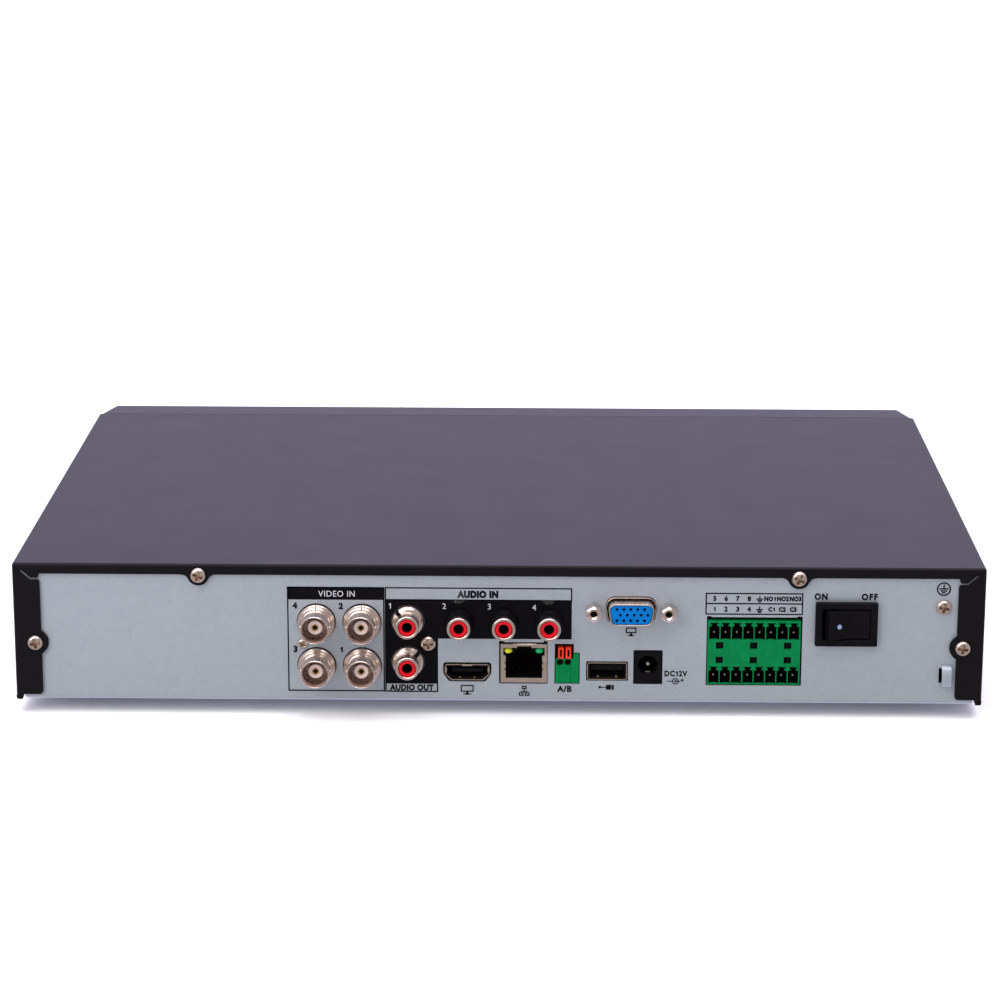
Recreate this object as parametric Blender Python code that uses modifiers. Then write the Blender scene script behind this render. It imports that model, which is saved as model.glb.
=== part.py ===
"""Slim desktop video recorder: steel case, rear connector panel, boards and hard drive.

Every length below is in millimetres in the case frame: x to the right as seen from the rear,
y from the outer face of the rear panel towards the front bezel, z up from the underside of the case.
The case frame is an empty that stands on the feet; the helpers turn millimetres into metres.
"""
import math

import bmesh
import bpy
from mathutils import Matrix, Vector

MM = 0.001
GAP = 0.3
THIN_WALL = 0.5
BEYOND = 10.0

# Case
CASE_WIDTH = 325.0
CASE_HEIGHT = 48.0
COVER_DEPTH = 212.0
BODY_DEPTH = 243.0
FOOT_HEIGHT = 5.0
CONNECTOR_REACH = 10.0
PANEL = 1.0
PANEL_TOP = 46.6
PANEL_HALF_WIDTH = 161.2
PANEL_LOW_EDGE = 2.6
TRAY_HALF_WIDTH = 159.7
TRAY_FRONT = 208.3
TRAY_WALL_HEIGHT = 12.0
CORNER_FLANGE = 9.0
COVER_SHEET = 0.8
COVER_REAR = -1.1
COVER_LOW_EDGE = 0.2
COVER_BEND = 1.2
HEM_HEIGHT = 2.2
HEM_INNER = 160.1
SIDE_FLANGE_INNER = 153.4
SIDE_FLANGE_FOOT = 2.0
TOP_FLANGE_EDGE = 44.4
TONGUE_EDGE = 42.9
TONGUE_OUTER = 156.3
MITRE_GAP = 0.75
MITRE_END = (161.0, 47.0)
CORNER_CUT = 1.0
VENT_COUNT = 12
VENT_PITCH = 6.0
VENT_FIRST = 74.0
VENT_SIZE = (2.4, 18.0)
VENT_CENTRE = 27.0

# Cover screws and their lobes: (x, z, lobe radius, fillet radius)
TOP_LOBE = (100.2, 44.2, 3.6, 2.8)
SIDE_LOBE = (155.4, 20.3, 4.4, 0.8)
SCREW_HEAD = 2.6
SCREW_CROWN = ((0.0, 1.6), (0.6, 1.45), (0.92, 0.9), (1.0, 0.0))
SCREW_SHANK = 1.4
SCREW_HOLE = 1.8
SCREW_LENGTH = 6.0
GROUND_SCREW = (148.7, 34.3)
SMALL_BLOCK_SCREW = (-65.7, 20.2)
LARGE_BLOCK_SCREW = (-23.5, 20.6)
SMALL_SCREW_SCALE = 0.62
BLOCK_SCREW_DEPTH = 8.0

# Cable-tie bridge lanced out of the rear panel
BRIDGE_X = (148.6, 152.0)
BRIDGE_SLOT_X = (147.9, 152.2)
BRIDGE_Z = (6.4, 14.2)
BRIDGE_REACH = 3.0
BRIDGE_STEPS = 10

# Feet
FOOT_X = 135.0
FOOT_Y = (31.5, 191.5)
FOOT_PROFILE = ((0.0, -GAP), (8.0, -GAP), (9.0, -4.0), (8.2, -FOOT_HEIGHT), (0.0, -FOOT_HEIGHT))

# Rear connectors, centres as (x, z)
BNC_CENTRES = {1: (-45.7, 12.4), 2: (-45.7, 27.7), 3: (-61.0, 12.4), 4: (-61.0, 27.7)}
BNC_HOLE = 6.7
BNC_LUG = (0.95, 4.3, 5.7, 6.5)
BNC_PROFILE = ((0.0, 3.3), (0.8, 3.3), (0.8, 6.3), (2.15, 6.3), (2.15, 1.4), (4.0, 1.4), (4.0, 10.0),
               (4.8, 10.0), (4.8, 2.6), (5.6, 2.6), (5.6, 1.4), (6.3, 1.4), (6.3, -1.2), (0.0, -1.2))
FLANGED_AUDIO = {"audio_in_jack_1": (-30.3, 28.3), "audio_out_jack": (-30.3, 14.0)}
FLANGED_AUDIO_HOLE = 5.65
FLANGED_AUDIO_BASE = ((4.0, 2.2), (4.7, 2.2), (4.7, 1.2), (5.25, 1.2), (5.25, -1.2), (0.0, -1.2))
PLAIN_AUDIO = {
    "audio_in_jack_2": (-13.1, 27.9),
    "audio_in_jack_3": (1.9, 27.9),
    "audio_in_jack_4": (17.0, 27.9),
}
PLAIN_AUDIO_HOLE = 5.1
PLAIN_AUDIO_BASE = ((4.0, 0.8), (4.7, 0.8), (4.7, -1.2), (0.0, -1.2))
AUDIO_SLEEVE = ((0.0, -1.0), (1.6, -1.0), (1.6, 7.8), (3.1, 7.8), (3.1, 8.3), (4.0, 8.3))
COAX_BLOCK = ((-69.2, 1.5, 6.6), (-37.7, 20.0, 35.5))
AUDIO_STACK = ((-36.5, 1.5, 6.6), (-21.3, 14.0, 35.0))
AUDIO_ROW = ((-19.6, 1.5, 22.8), (23.5, 12.0, 33.8))
VIDEO_SOCKET = (-10.4, 7.7, 15.0, 5.6)
VIDEO_SLANT = (2.0, 3.4)
VIDEO_REACH = (-0.3, 11.5)
VIDEO_TONGUE = (5.3, 0.7, 0.3)
TONGUE_SETBACK = 0.8
PANEL_CLEARANCE = 0.4
NETWORK_BOX = ((0.8, -0.3, 6.9), (16.4, 19.5, 20.6))
NETWORK_WINDOW = ((2.3, 8.5), (15.1, 16.8))
LATCH_SLOT = ((6.2, 16.0), (11.4, 19.7))
LAMP_WINDOWS = ((1.6, 4.8), (12.6, 15.8))
LAMP_WINDOW_Z = (17.0, 19.2)
NETWORK_LIP = 0.2
NETWORK_ROOF = 0.7
NETWORK_BORE = 12.0
NETWORK_LATCH = 9.0
SERIAL_BODY = ((19.2, -0.3, 6.9), (27.1, 12.0, 17.2))
SERIAL_TOWER = ((19.3, -0.3, 16.0), (25.1, 12.0, 20.3))
LEVER_X = {"serial_lever_a": (20.1, 22.0), "serial_lever_b": (22.6, 24.5)}
LEVER_Z = (15.8, 19.6)
LEVER_FRONT = -1.3
LEVER_LENGTH = 7.0
LEVER_TRAVEL = 1.5
LEVER_SLOT = (0.4, 1.3, 0.8)
WIRE_HOLES = ((20.8, 14.2), (23.4, 14.2))
WIRE_HOLE = (1.0, 8.0)
USB_BOX = ((29.9, -0.3, 8.1), (43.3, 14.0, 14.2))
USB_TONGUE = (1.1, 3.0, 1.2)
POWER_BOX = ((45.7, -0.2, 6.9), (54.9, 14.0, 18.3))
POWER_CENTRE = (50.3, 13.3)
POWER_BORE = (3.15, 10.0, 1.0, 1.5)
MONITOR_CENTRE = (44.4, 32.4)
MONITOR_SHELL = (15.9, 7.6)
MONITOR_SLANT = (1.3, 1.6)
MONITOR_REACH = 5.5
MONITOR_BASE_STEP = 0.95
MONITOR_BASE_REACH = 1.2
MONITOR_HOUSING_DEPTH = 12.0
MONITOR_FLANGE = (30.8, 12.5)
JACKSCREW_OFFSET = 12.5
JACKSCREW = (2.7, 5.3, 1.35, 7.0)
ALARM_BOX = ((70.1, -0.2, 6.7), (101.3, 18.0, 29.6))
ALARM_FIRST = 72.3
ALARM_PITCH = 3.81
ALARM_WAYS = 8
ALARM_ROWS = ((22.5, 25.1), (7.1, 10.1))
ALARM_SOCKET = (3.2, 5.8, 9.0)
ALARM_PIN = (0.5, 1.5)
ALARM_CLEARANCE = 0.5
ALARM_WINDOWS_X = (74.2, 85.6, 97.0)
ALARM_WINDOWS_Z = (20.4, 15.3)
ALARM_WINDOW = (2.5, 2.4, 2.5)

# Rocker switch
SWITCH_CENTRE = (116.3, 28.5)
SWITCH_BEZEL = (20.8, 15.2, 2.0)
SWITCH_BODY = (19.2, 12.9, 17.0)
SWITCH_OPENING = (16.0, 10.6, 11.0)
SWITCH_PIVOT_Y = 2.5
SWITCH_REST_TILT = 10.0
ROCKER_HALF_WIDTH = 5.0
ROCKER_OUTLINE = ((-7.6, 0.0), (-7.6, -2.0), (-6.0, -6.2), (0.0, -4.8), (6.0, -6.2),
                  (7.6, -2.0), (7.6, 0.0), (4.0, 4.0), (-4.0, 4.0))
TRUNNION_RADIUS = 1.0
TRUNNION_HALF = 6.1

# Boards
BOARD_TOP = 6.3
BOARD_SHEET = 1.6
COMPONENT_ROOT = 0.4
MAIN_BOARD = ((-88.0, 1.5), (106.0, 96.5))
STANDOFF_RADIUS = 3.0
STANDOFFS = ((-82.0, 30.0), (-82.0, 90.0), (100.0, 30.0), (100.0, 90.0))
UPPER_BOARD = ((-20.6, 1.5, 21.3), (62.0, 40.0, 22.5))
SPACERS = ((-16.0, 35.0), (58.0, 35.0), (24.0, 35.0))
SPACER_RADIUS = 2.5
# Board components as (x, y, width, depth, height)
CHIPS = ((-20.0, 66.0, 30.0, 30.0, 1.4), (14.0, 58.0, 9.0, 13.0, 1.2), (14.0, 78.0, 9.0, 13.0, 1.2),
         (-58.0, 44.0, 16.0, 16.0, 1.4), (40.0, 70.0, 14.0, 14.0, 1.4), (78.0, 74.0, 12.0, 12.0, 6.0),
         (72.0, 48.0, 10.0, 10.0, 5.0), (90.0, 40.0, 8.0, 6.0, 2.0), (-42.0, 90.0, 16.0, 5.0, 3.2),
         (-62.0, 90.0, 12.0, 5.0, 3.2), (-78.0, 90.0, 10.0, 5.0, 3.2), (96.0, 74.0, 10.0, 5.0, 3.2))
# Capacitors as (x, y, radius, height)
CAPACITORS = ((62.0, 86.0, 4.0, 9.0), (62.0, 74.0, 4.0, 9.0), (86.0, 88.0, 3.2, 8.0),
              (-44.0, 62.0, 3.2, 7.0))
HEATSINK = ((-38.0, 48.0, 8.0), (-2.0, 84.0, 24.0))
HEATSINK_BASE = 3.0
HEATSINK_SLOTS = 8
HEATSINK_SLOT = 2.6
CELL_CENTRE = (-62.0, 68.0)
CELL_RADIUS = 10.0
CELL_THICKNESS = 3.2
HOLDER_RADIUS = 11.8
HOLDER_FLOOR = 1.0
HOLDER_HEIGHT = 4.4
CELL_ROOM = 0.5

# Hard drive
DRIVE = ((-21.5, 102.5, 4.0), (125.5, 204.1, 28.0))
DRIVE_LID = 1.5
DRIVE_FLOOR = 10.0
DRIVE_BOSSES = ((-10.0, 112.0), (-10.0, 195.0), (114.0, 112.0), (114.0, 195.0))
DRIVE_BOSS_RADIUS = 4.0
SPINDLE = (74.7, 153.3)
PLATTER_RADIUS = 47.5
PLATTER_POCKET = 48.7
PLATTER_PROFILE = ((0.0, 20.4), (12.5, 20.4), (12.5, 17.4), (47.5, 17.4), (47.5, 16.0),
                   (14.0, 16.0), (14.0, 10.4), (0.0, 10.4))
ARM_POCKET = ((-17.0, 106.0), (46.0, 200.0))
ARM_PIVOT = (19.0, 176.0)
ARM_PARK_ANGLE = -73.5
ARM_OUTLINE = ((-18.0, -9.0), (-4.0, -6.0), (6.0, -6.0), (50.0, -1.6), (50.0, 1.6),
               (6.0, 6.0), (-4.0, 6.0), (-18.0, 9.0))
ARM_LEVEL = (18.6, 20.0)
ARM_HUB = (7.0, 10.4, 22.0)
DRIVE_BOARD = ((-17.5, 106.5, 4.3), (59.5, 169.5, 5.5))
DRIVE_BOARD_RECESS = ((-18.0, 106.0, 3.0), (60.0, 170.0, 5.8))

# Front bezel, sections as (y, z) and half plan as (x, y)
BEZEL_REAR = 212.3
BEZEL_SIDE = ((BEZEL_REAR, 0.6), (BEZEL_REAR, 48.0), (226.0, 48.0), (237.5, 43.0), (BODY_DEPTH, 34.0),
              (BODY_DEPTH, 10.0), (238.5, 2.5), (226.0, 0.6))
BEZEL_PLAN = ((160.9, BEZEL_REAR), (157.0, 226.0), (153.6, 237.5), (150.0, BODY_DEPTH))
BEZEL_INNER_SIDE = ((200.0, 2.6), (200.0, 46.0), (225.5, 46.0), (236.5, 41.2), (241.0, 33.4),
                    (241.0, 10.6), (237.2, 4.5), (225.8, 2.6))
BEZEL_INNER_PLAN = ((162.2, 200.0), (158.9, BEZEL_REAR), (155.1, 225.5), (151.8, 236.5),
                    (148.6, 241.0))
HOOK_X = (-120.0, -40.0, 40.0, 120.0)
HOOK_WIDTH = 10.0
HOOK_ROOM = 0.6
POST_RADIUS = 2.5
HOOK = ((205.5, 44.8), (220.0, 46.4))
WINDOW = ((-105.0, 16.0), (-55.0, 26.0))
WINDOW_PANE = (239.0, 242.8, 240.7, 2.0)
FRONT_BOARD = ((-141.0, 226.5, 10.0), (-41.0, 228.1, 30.0))
BOSS_POSTS = ((-137.0, 20.0), (-45.0, 20.0))
LAMPS = ((-98.0, 21.0), (-89.0, 21.0), (-80.0, 21.0))
FRONT_LAMP = (1.5, 9.5)
RECEIVER = ((-66.0, 228.0, 17.0), (-60.0, 234.0, 25.0))
FRONT_USB = ((-126.7, 228.4, 17.9), (-113.3, 242.6, 23.9))
FRONT_CABLE_HOLE = (-60.0, 20.0, 4.5)

# Cable routes held inside the case, as centre points, with radius and end plugs (low and high corners)
CABLES = {
    "data_cable": (2.0,
                   ((-26.0, 125.0, 9.0), (-34.0, 125.0, 9.6), (-40.0, 121.0, 11.0), (-42.0, 113.0, 13.0),
                    (-42.0, 104.0, 14.6), (-42.0, 97.0, 14.6), (-42.0, 93.0, 14.0), (-42.0, 91.0, 12.5)),
                   ((-28.0, 119.0, 6.6), (-21.9, 131.0, 12.0)),
                   ((-49.0, 88.0, 9.8), (-35.0, 92.4, 13.2))),
    "power_cable": (2.4,
                    ((-26.0, 147.0, 9.0), (-38.0, 147.0, 9.6), (-50.0, 142.0, 11.0), (-58.0, 131.0, 13.0),
                     (-62.0, 116.0, 14.6), (-62.0, 101.0, 14.8), (-62.0, 94.0, 14.4), (-62.0, 91.5, 12.5)),
                    ((-28.0, 138.0, 6.6), (-21.9, 156.0, 12.0)),
                    ((-67.0, 88.0, 9.8), (-57.0, 93.0, 13.2))),
    "front_cable": (1.8,
                    ((-60.0, 222.5, 20.0), (-60.0, 208.0, 20.0), (-61.0, 190.0, 19.6), (-66.0, 165.0, 18.0),
                     (-73.0, 140.0, 16.0), (-78.0, 115.0, 14.6), (-78.0, 100.0, 14.4), (-78.0, 94.0, 14.0),
                     (-78.0, 91.5, 12.5)),
                    ((-65.0, 221.0, 17.0), (-55.0, 226.2, 23.0)),
                    ((-82.0, 88.0, 9.8), (-74.0, 92.5, 13.2))),
    "switch_cable": (1.6,
                     ((116.0, 21.0, 28.5), (116.0, 30.0, 28.0), (114.5, 42.0, 25.0), (110.0, 54.0, 20.0),
                      (103.0, 65.0, 15.5), (97.5, 71.5, 13.0), (96.0, 74.0, 11.5)),
                     ((111.0, 17.4, 25.5), (121.0, 23.0, 31.5)),
                     ((92.0, 71.8, 9.8), (100.0, 76.2, 13.0))),
}

# Finishes as (colour, roughness, metallic)
FINISHES = {
    "galvanised": ((0.36, 0.40, 0.45), 0.42, 0.75),
    "paint": ((0.035, 0.033, 0.042), 0.55, 0.0),
    "gloss": ((0.012, 0.012, 0.014), 0.22, 0.0),
    "smoke": ((0.02, 0.008, 0.01), 0.12, 0.0),
    "rubber": ((0.02, 0.02, 0.02), 0.85, 0.0),
    "nickel": ((0.55, 0.48, 0.43), 0.25, 1.0),
    "steel": ((0.50, 0.48, 0.46), 0.30, 1.0),
    "black": ((0.012, 0.011, 0.013), 0.45, 0.0),
    "green": ((0.0, 0.19, 0.055), 0.45, 0.0),
    "orange": ((0.75, 0.05, 0.02), 0.45, 0.0),
    "red": ((0.70, 0.01, 0.02), 0.40, 0.0),
    "blue": ((0.0, 0.16, 0.54), 0.45, 0.0),
    "board": ((0.01, 0.09, 0.05), 0.50, 0.0),
    "aluminium": ((0.60, 0.60, 0.61), 0.40, 1.0),
    "mirror": ((0.75, 0.75, 0.76), 0.08, 1.0),
    "cable": ((0.35, 0.02, 0.02), 0.55, 0.0),
}


def clear_scene():
    """Remove every object that is already in the file."""
    for item in list(bpy.data.objects):
        bpy.data.objects.remove(item, do_unlink=True)


def make_collection(name):
    """Make a collection in the scene."""
    collection = bpy.data.collections.new(name)
    bpy.context.scene.collection.children.link(collection)
    return collection


def make_frame():
    """Make the empty that carries the case frame on its feet."""
    frame = bpy.data.objects.new("case_frame", None)
    frame.location = Vector((0.0, (CONNECTOR_REACH - BODY_DEPTH) / 2 * MM, FOOT_HEIGHT * MM))
    PARTS.objects.link(frame)
    bpy.context.view_layer.update()
    return frame


def make_material(name, finish):
    """Make the piece's own material from a finish."""
    colour, roughness, metallic = FINISHES[finish]
    material = bpy.data.materials.new(f"{name}_{finish}")
    material.use_nodes = True
    shader = material.node_tree.nodes["Principled BSDF"]
    shader.inputs["Base Color"].default_value = (*colour, 1.0)
    shader.inputs["Roughness"].default_value = roughness
    shader.inputs["Metallic"].default_value = metallic
    return material


def place(name, mesh, origin=(0.0, 0.0, 0.0), finish=None):
    """Make an object in the case frame: a finish makes it a part, none makes it a cutter or guide."""
    item = bpy.data.objects.new(name, mesh)
    item.parent = FRAME
    item.location = Vector(origin) * MM
    if finish is None:
        CUTTERS.objects.link(item)
        item.hide_render = True
        item.display_type = "WIRE"
    else:
        PARTS.objects.link(item)
        mesh.materials.append(make_material(name, finish))
    return item


def mesh_from(name, bm):
    """Turn a bmesh in millimetres into a mesh in metres."""
    bmesh.ops.scale(bm, vec=(MM, MM, MM), verts=bm.verts)
    mesh = bpy.data.meshes.new(name)
    bm.to_mesh(mesh)
    bm.free()
    return mesh


def add_box(bm, low, high):
    """Add a box between two corners."""
    low, high = Vector(low), Vector(high)
    size = high - low
    matrix = Matrix.Translation((low + high) / 2) @ Matrix.Diagonal((*size, 1.0))
    bmesh.ops.create_cube(bm, size=1.0, matrix=matrix)


def add_rod(bm, radius, start, end, segments=16):
    """Add a cylinder between two points."""
    start, end = Vector(start), Vector(end)
    turn = (end - start).to_track_quat("Z", "Y").to_matrix().to_4x4()
    matrix = Matrix.Translation((start + end) / 2) @ turn
    bmesh.ops.create_cone(bm, cap_ends=True, segments=segments, radius1=radius, radius2=radius,
                          depth=(end - start).length, matrix=matrix)


def boxes(name, corners, finish=None, origin=(0.0, 0.0, 0.0)):
    """Make one object of one or more boxes given by their corners in the case frame."""
    bm = bmesh.new()
    for low, high in corners:
        add_box(bm, Vector(low) - Vector(origin), Vector(high) - Vector(origin))
    return place(name, mesh_from(name, bm), origin, finish)


def rods(name, items, finish=None, segments=16):
    """Make one object of cylinders given as (radius, start, end)."""
    bm = bmesh.new()
    for radius, start, end in items:
        add_rod(bm, radius, start, end, segments)
    return place(name, mesh_from(name, bm), finish=finish)


def curve_mesh(name, curve, turn=(0.0, 0.0, 0.0)):
    """Evaluate a curve in millimetres as a closed mesh in metres, turned in place."""
    guide = bpy.data.objects.new(name, curve)
    guide.rotation_euler = turn
    CUTTERS.objects.link(guide)
    bpy.context.view_layer.update()
    mesh = bpy.data.meshes.new_from_object(guide.evaluated_get(bpy.context.evaluated_depsgraph_get()))
    matrix = guide.matrix_world.copy()
    bpy.data.objects.remove(guide, do_unlink=True)
    bm = bmesh.new()
    bm.from_mesh(mesh)
    bmesh.ops.transform(bm, matrix=matrix, verts=bm.verts)
    bmesh.ops.remove_doubles(bm, verts=bm.verts, dist=0.01)
    bmesh.ops.recalc_face_normals(bm, faces=bm.faces)
    return bm


def prism(name, outline, start, end, axis="Y", finish=None, origin=(0.0, 0.0, 0.0), spin=0.0):
    """Extrude an outline from start to end along an axis: (x, z) for Y, (y, z) for X, (x, y) for Z."""
    curve = bpy.data.curves.new(name, "CURVE")
    curve.dimensions = "2D"
    curve.fill_mode = "BOTH"
    curve.extrude = abs(end - start) / 2
    spline = curve.splines.new("POLY")
    spline.points.add(len(outline) - 1)
    for point, (across, up) in zip(spline.points, outline):
        point.co = (across, up, 0.0, 1.0)
    spline.use_cyclic_u = True
    turns = {"Y": (math.pi / 2, 0.0, 0.0), "X": (math.pi / 2, 0.0, math.pi / 2), "Z": (0.0, 0.0, 0.0)}
    bm = curve_mesh(name, curve, turns[axis])
    steps = {"Y": (0.0, 1.0, 0.0), "X": (1.0, 0.0, 0.0), "Z": (0.0, 0.0, 1.0)}
    bmesh.ops.translate(bm, vec=Vector(steps[axis]) * (start + end) / 2, verts=bm.verts)
    bmesh.ops.rotate(bm, cent=(0.0, 0.0, 0.0), matrix=Matrix.Rotation(spin, 3, "Z"), verts=bm.verts)
    return place(name, mesh_from(name, bm), origin, finish)


def turned(name, profile, origin, finish=None, steps=16, outward=True):
    """Turn a profile of (radius, height): outward puts its height along -y, else it stands upright."""
    bm = bmesh.new()
    points = [bm.verts.new((radius, 0.0, height)) for radius, height in profile]
    for first, second in zip(points, points[1:]):
        bm.edges.new((first, second))
    item = place(name, mesh_from(name, bm), origin, finish)
    if outward:
        item.rotation_euler = (math.pi / 2, 0.0, 0.0)
    screw = item.modifiers.new("Turn", "SCREW")
    screw.steps = steps
    screw.render_steps = steps
    screw.use_merge_vertices = True
    screw.merge_threshold = 0.00001
    return item


def boolean(item, tool, operation):
    """Cut, join or intersect a part with a tool object."""
    modifier = item.modifiers.new(operation.title(), "BOOLEAN")
    modifier.operation = operation
    modifier.solver = "EXACT"
    modifier.object = tool
    return item


def cut(item, tool):
    """Cut a tool out of a part."""
    return boolean(item, tool, "DIFFERENCE")


def join(item, tool):
    """Join a tool to a part."""
    return boolean(item, tool, "UNION")


def arc(centre, radius, start, end, count):
    """Points of an arc between two angles in degrees."""
    x, z = centre
    angles = [math.radians(start + (end - start) * step / count) for step in range(count + 1)]
    return [(x + radius * math.cos(angle), z + radius * math.sin(angle)) for angle in angles]


def centred(centre, near, far, half_wide, half_tall):
    """Corners of a box round a point (x, z) of the rear panel, from near to far in y."""
    x, z = centre
    return (x - half_wide, near, z - half_tall), (x + half_wide, far, z + half_tall)


def along_y(radius, centre, near, far):
    """Cylinder along y through a point (x, z) of the rear panel, as (radius, start, end)."""
    x, z = centre
    return radius, (x, near, z), (x, far, z)


def lobe_bump(height, radius, fillet, count=5):
    """Half-symmetric bump that a lobe makes on a straight edge, from -u to +u.

    The edge runs along u at v = 0 and the bump reaches towards +v; height is the lobe centre's v.
    """
    reach = math.sqrt((radius + fillet) ** 2 - (fillet - height) ** 2)
    lean = math.degrees(math.atan2(fillet - height, reach))
    left = arc((-reach, fillet), fillet, -90.0, -lean, 2)
    crown = arc((0.0, height), radius, 180.0 - lean, lean, count)
    right = arc((reach, fillet), fillet, 180.0 + lean, 270.0, 2)
    return left + crown[1:-1] + right


def half_opening():
    """Right half of the opening that the cover's rear flanges leave, from the bottom up to the middle."""
    foot, low = SIDE_FLANGE_FOOT, HEM_INNER + GAP
    points = [(low, -BEYOND), (low, foot), (SIDE_FLANGE_INNER + CORNER_CUT, foot)]
    points.append((SIDE_FLANGE_INNER, foot + CORNER_CUT))
    x, z, radius, fillet = SIDE_LOBE
    bump = lobe_bump(SIDE_FLANGE_INNER - x, radius, fillet)
    points += [(SIDE_FLANGE_INNER - v, z + u) for u, v in bump]
    slot_low = TONGUE_EDGE - MITRE_GAP
    across = MITRE_GAP * math.sin(math.radians(45.0))
    points += [(SIDE_FLANGE_INNER, slot_low - CORNER_CUT), (SIDE_FLANGE_INNER + CORNER_CUT, slot_low)]
    points += [(TONGUE_OUTER + across / 2, slot_low), (MITRE_END[0] + across, MITRE_END[1] - across)]
    points += [MITRE_END, (TONGUE_OUTER, TONGUE_EDGE)]
    points += [(SIDE_FLANGE_INNER, TONGUE_EDGE), (SIDE_FLANGE_INNER, TOP_FLANGE_EDGE)]
    x, z, radius, fillet = TOP_LOBE
    bump = lobe_bump(TOP_FLANGE_EDGE - z, radius, fillet)
    points += [(x - u, TOP_FLANGE_EDGE - v) for u, v in bump]
    return points


def mirrored(points):
    """Close a right-half outline with its mirror image."""
    return points + [(-across, up) for across, up in reversed(points)]


def cover_screw_places():
    """Names and (x, z) of the four cover screws."""
    return {
        "cover_screw_top_left": (-TOP_LOBE[0], TOP_LOBE[1]),
        "cover_screw_top_right": (TOP_LOBE[0], TOP_LOBE[1]),
        "cover_screw_side_left": (-SIDE_LOBE[0], SIDE_LOBE[1]),
        "cover_screw_side_right": (SIDE_LOBE[0], SIDE_LOBE[1]),
    }


def grown(box, margin):
    """Box of a part's rear face, grown by a margin, as a cutter through the rear panel."""
    (x0, _, z0), (x1, _, z1) = box
    return (x0 - margin, -BEYOND, z0 - margin), (x1 + margin, BEYOND, z1 + margin)


def d_outline(centre, width, height, inset, rise):
    """Outline with vertical sides down to a share of its height and then slanted in to a narrower foot."""
    x, z = centre
    half = width / 2
    top, knee, foot = z + height / 2, z + height / 2 - rise, z - height / 2
    return [(x - half, top), (x + half, top), (x + half, knee), (x + half - inset, foot),
            (x - half + inset, foot), (x - half, knee)]


def socket_outline(margin):
    """Outline of the digital video socket, grown by a margin."""
    x, low, width, height = VIDEO_SOCKET
    inset, rise = VIDEO_SLANT
    centre = (x, low + height / 2)
    return d_outline(centre, width + 2 * margin, height + 2 * margin, inset, rise + margin)


def monitor_outline(margin):
    """Outline of the monitor socket's shell, grown by a margin."""
    width, height = MONITOR_SHELL
    inset, rise = MONITOR_SLANT
    return d_outline(MONITOR_CENTRE, width + 2 * margin, height + 2 * margin, inset, rise)


def jackscrew_places():
    """Names and (x, z) of the two jackscrews."""
    x, z = MONITOR_CENTRE
    return {
        "monitor_jackscrew_left": (x - JACKSCREW_OFFSET, z),
        "monitor_jackscrew_right": (x + JACKSCREW_OFFSET, z),
    }


def bow(half, reach):
    """(y, z) points of a bowed strip's face about the bridge's middle, from its lower to its upper end."""
    middle, root = sum(BRIDGE_Z) / 2, PANEL / 2
    points = []
    for step in range(BRIDGE_STEPS + 1):
        turn = math.pi * step / BRIDGE_STEPS
        rise = (reach + root) * abs(math.sin(turn)) ** 0.5
        points.append((root - rise, middle - half * math.cos(turn)))
    return points


def bridge_outline():
    """(y, z) outline of the cable-tie bridge with its two feet in the panel."""
    half = (BRIDGE_Z[1] - BRIDGE_Z[0]) / 2
    return bow(half, BRIDGE_REACH) + bow(half - PANEL, BRIDGE_REACH - PANEL)[::-1]


def panel_cutters():
    """Cutters for the rear panel's openings."""
    slot_x, slot_z = BRIDGE_SLOT_X, (BRIDGE_Z[0] + PANEL + GAP, BRIDGE_Z[1] - PANEL - GAP)
    wide, tall, _ = SWITCH_BODY
    square = boxes("panel_square_cutter", [
        grown(NETWORK_BOX, PANEL_CLEARANCE),
        grown(USB_BOX, GAP),
        grown(POWER_BOX, GAP),
        grown(ALARM_BOX, ALARM_CLEARANCE),
        grown(SERIAL_BODY, GAP),
        centred(SWITCH_CENTRE, -BEYOND, BEYOND, wide / 2 + GAP, tall / 2 + GAP),
        ((slot_x[0], -PANEL / 2, slot_z[0]), (slot_x[1], BEYOND, slot_z[1])),
    ])
    tower = boxes("panel_tower_cutter", [grown(SERIAL_TOWER, GAP)])
    holes = [(BNC_HOLE, centre) for centre in BNC_CENTRES.values()]
    holes += [(FLANGED_AUDIO_HOLE, centre) for centre in FLANGED_AUDIO.values()]
    holes += [(PLAIN_AUDIO_HOLE, centre) for centre in PLAIN_AUDIO.values()]
    holes += [(SCREW_HOLE, centre) for centre in cover_screw_places().values()]
    holes += [(SCREW_HOLE, GROUND_SCREW), (SCREW_HOLE, LARGE_BLOCK_SCREW), (SCREW_HOLE, SMALL_BLOCK_SCREW)]
    holes += [(SCREW_HOLE, centre) for centre in jackscrew_places().values()]
    round_tool = rods("panel_round_cutter", [along_y(r, centre, -BEYOND, BEYOND) for r, centre in holes])
    socket = prism("panel_socket_cutter", socket_outline(PANEL_CLEARANCE), -BEYOND, BEYOND)
    monitor = prism("panel_monitor_cutter", monitor_outline(MONITOR_BASE_STEP + GAP), -BEYOND, BEYOND)
    return [square, tower, round_tool, socket, monitor]


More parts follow.
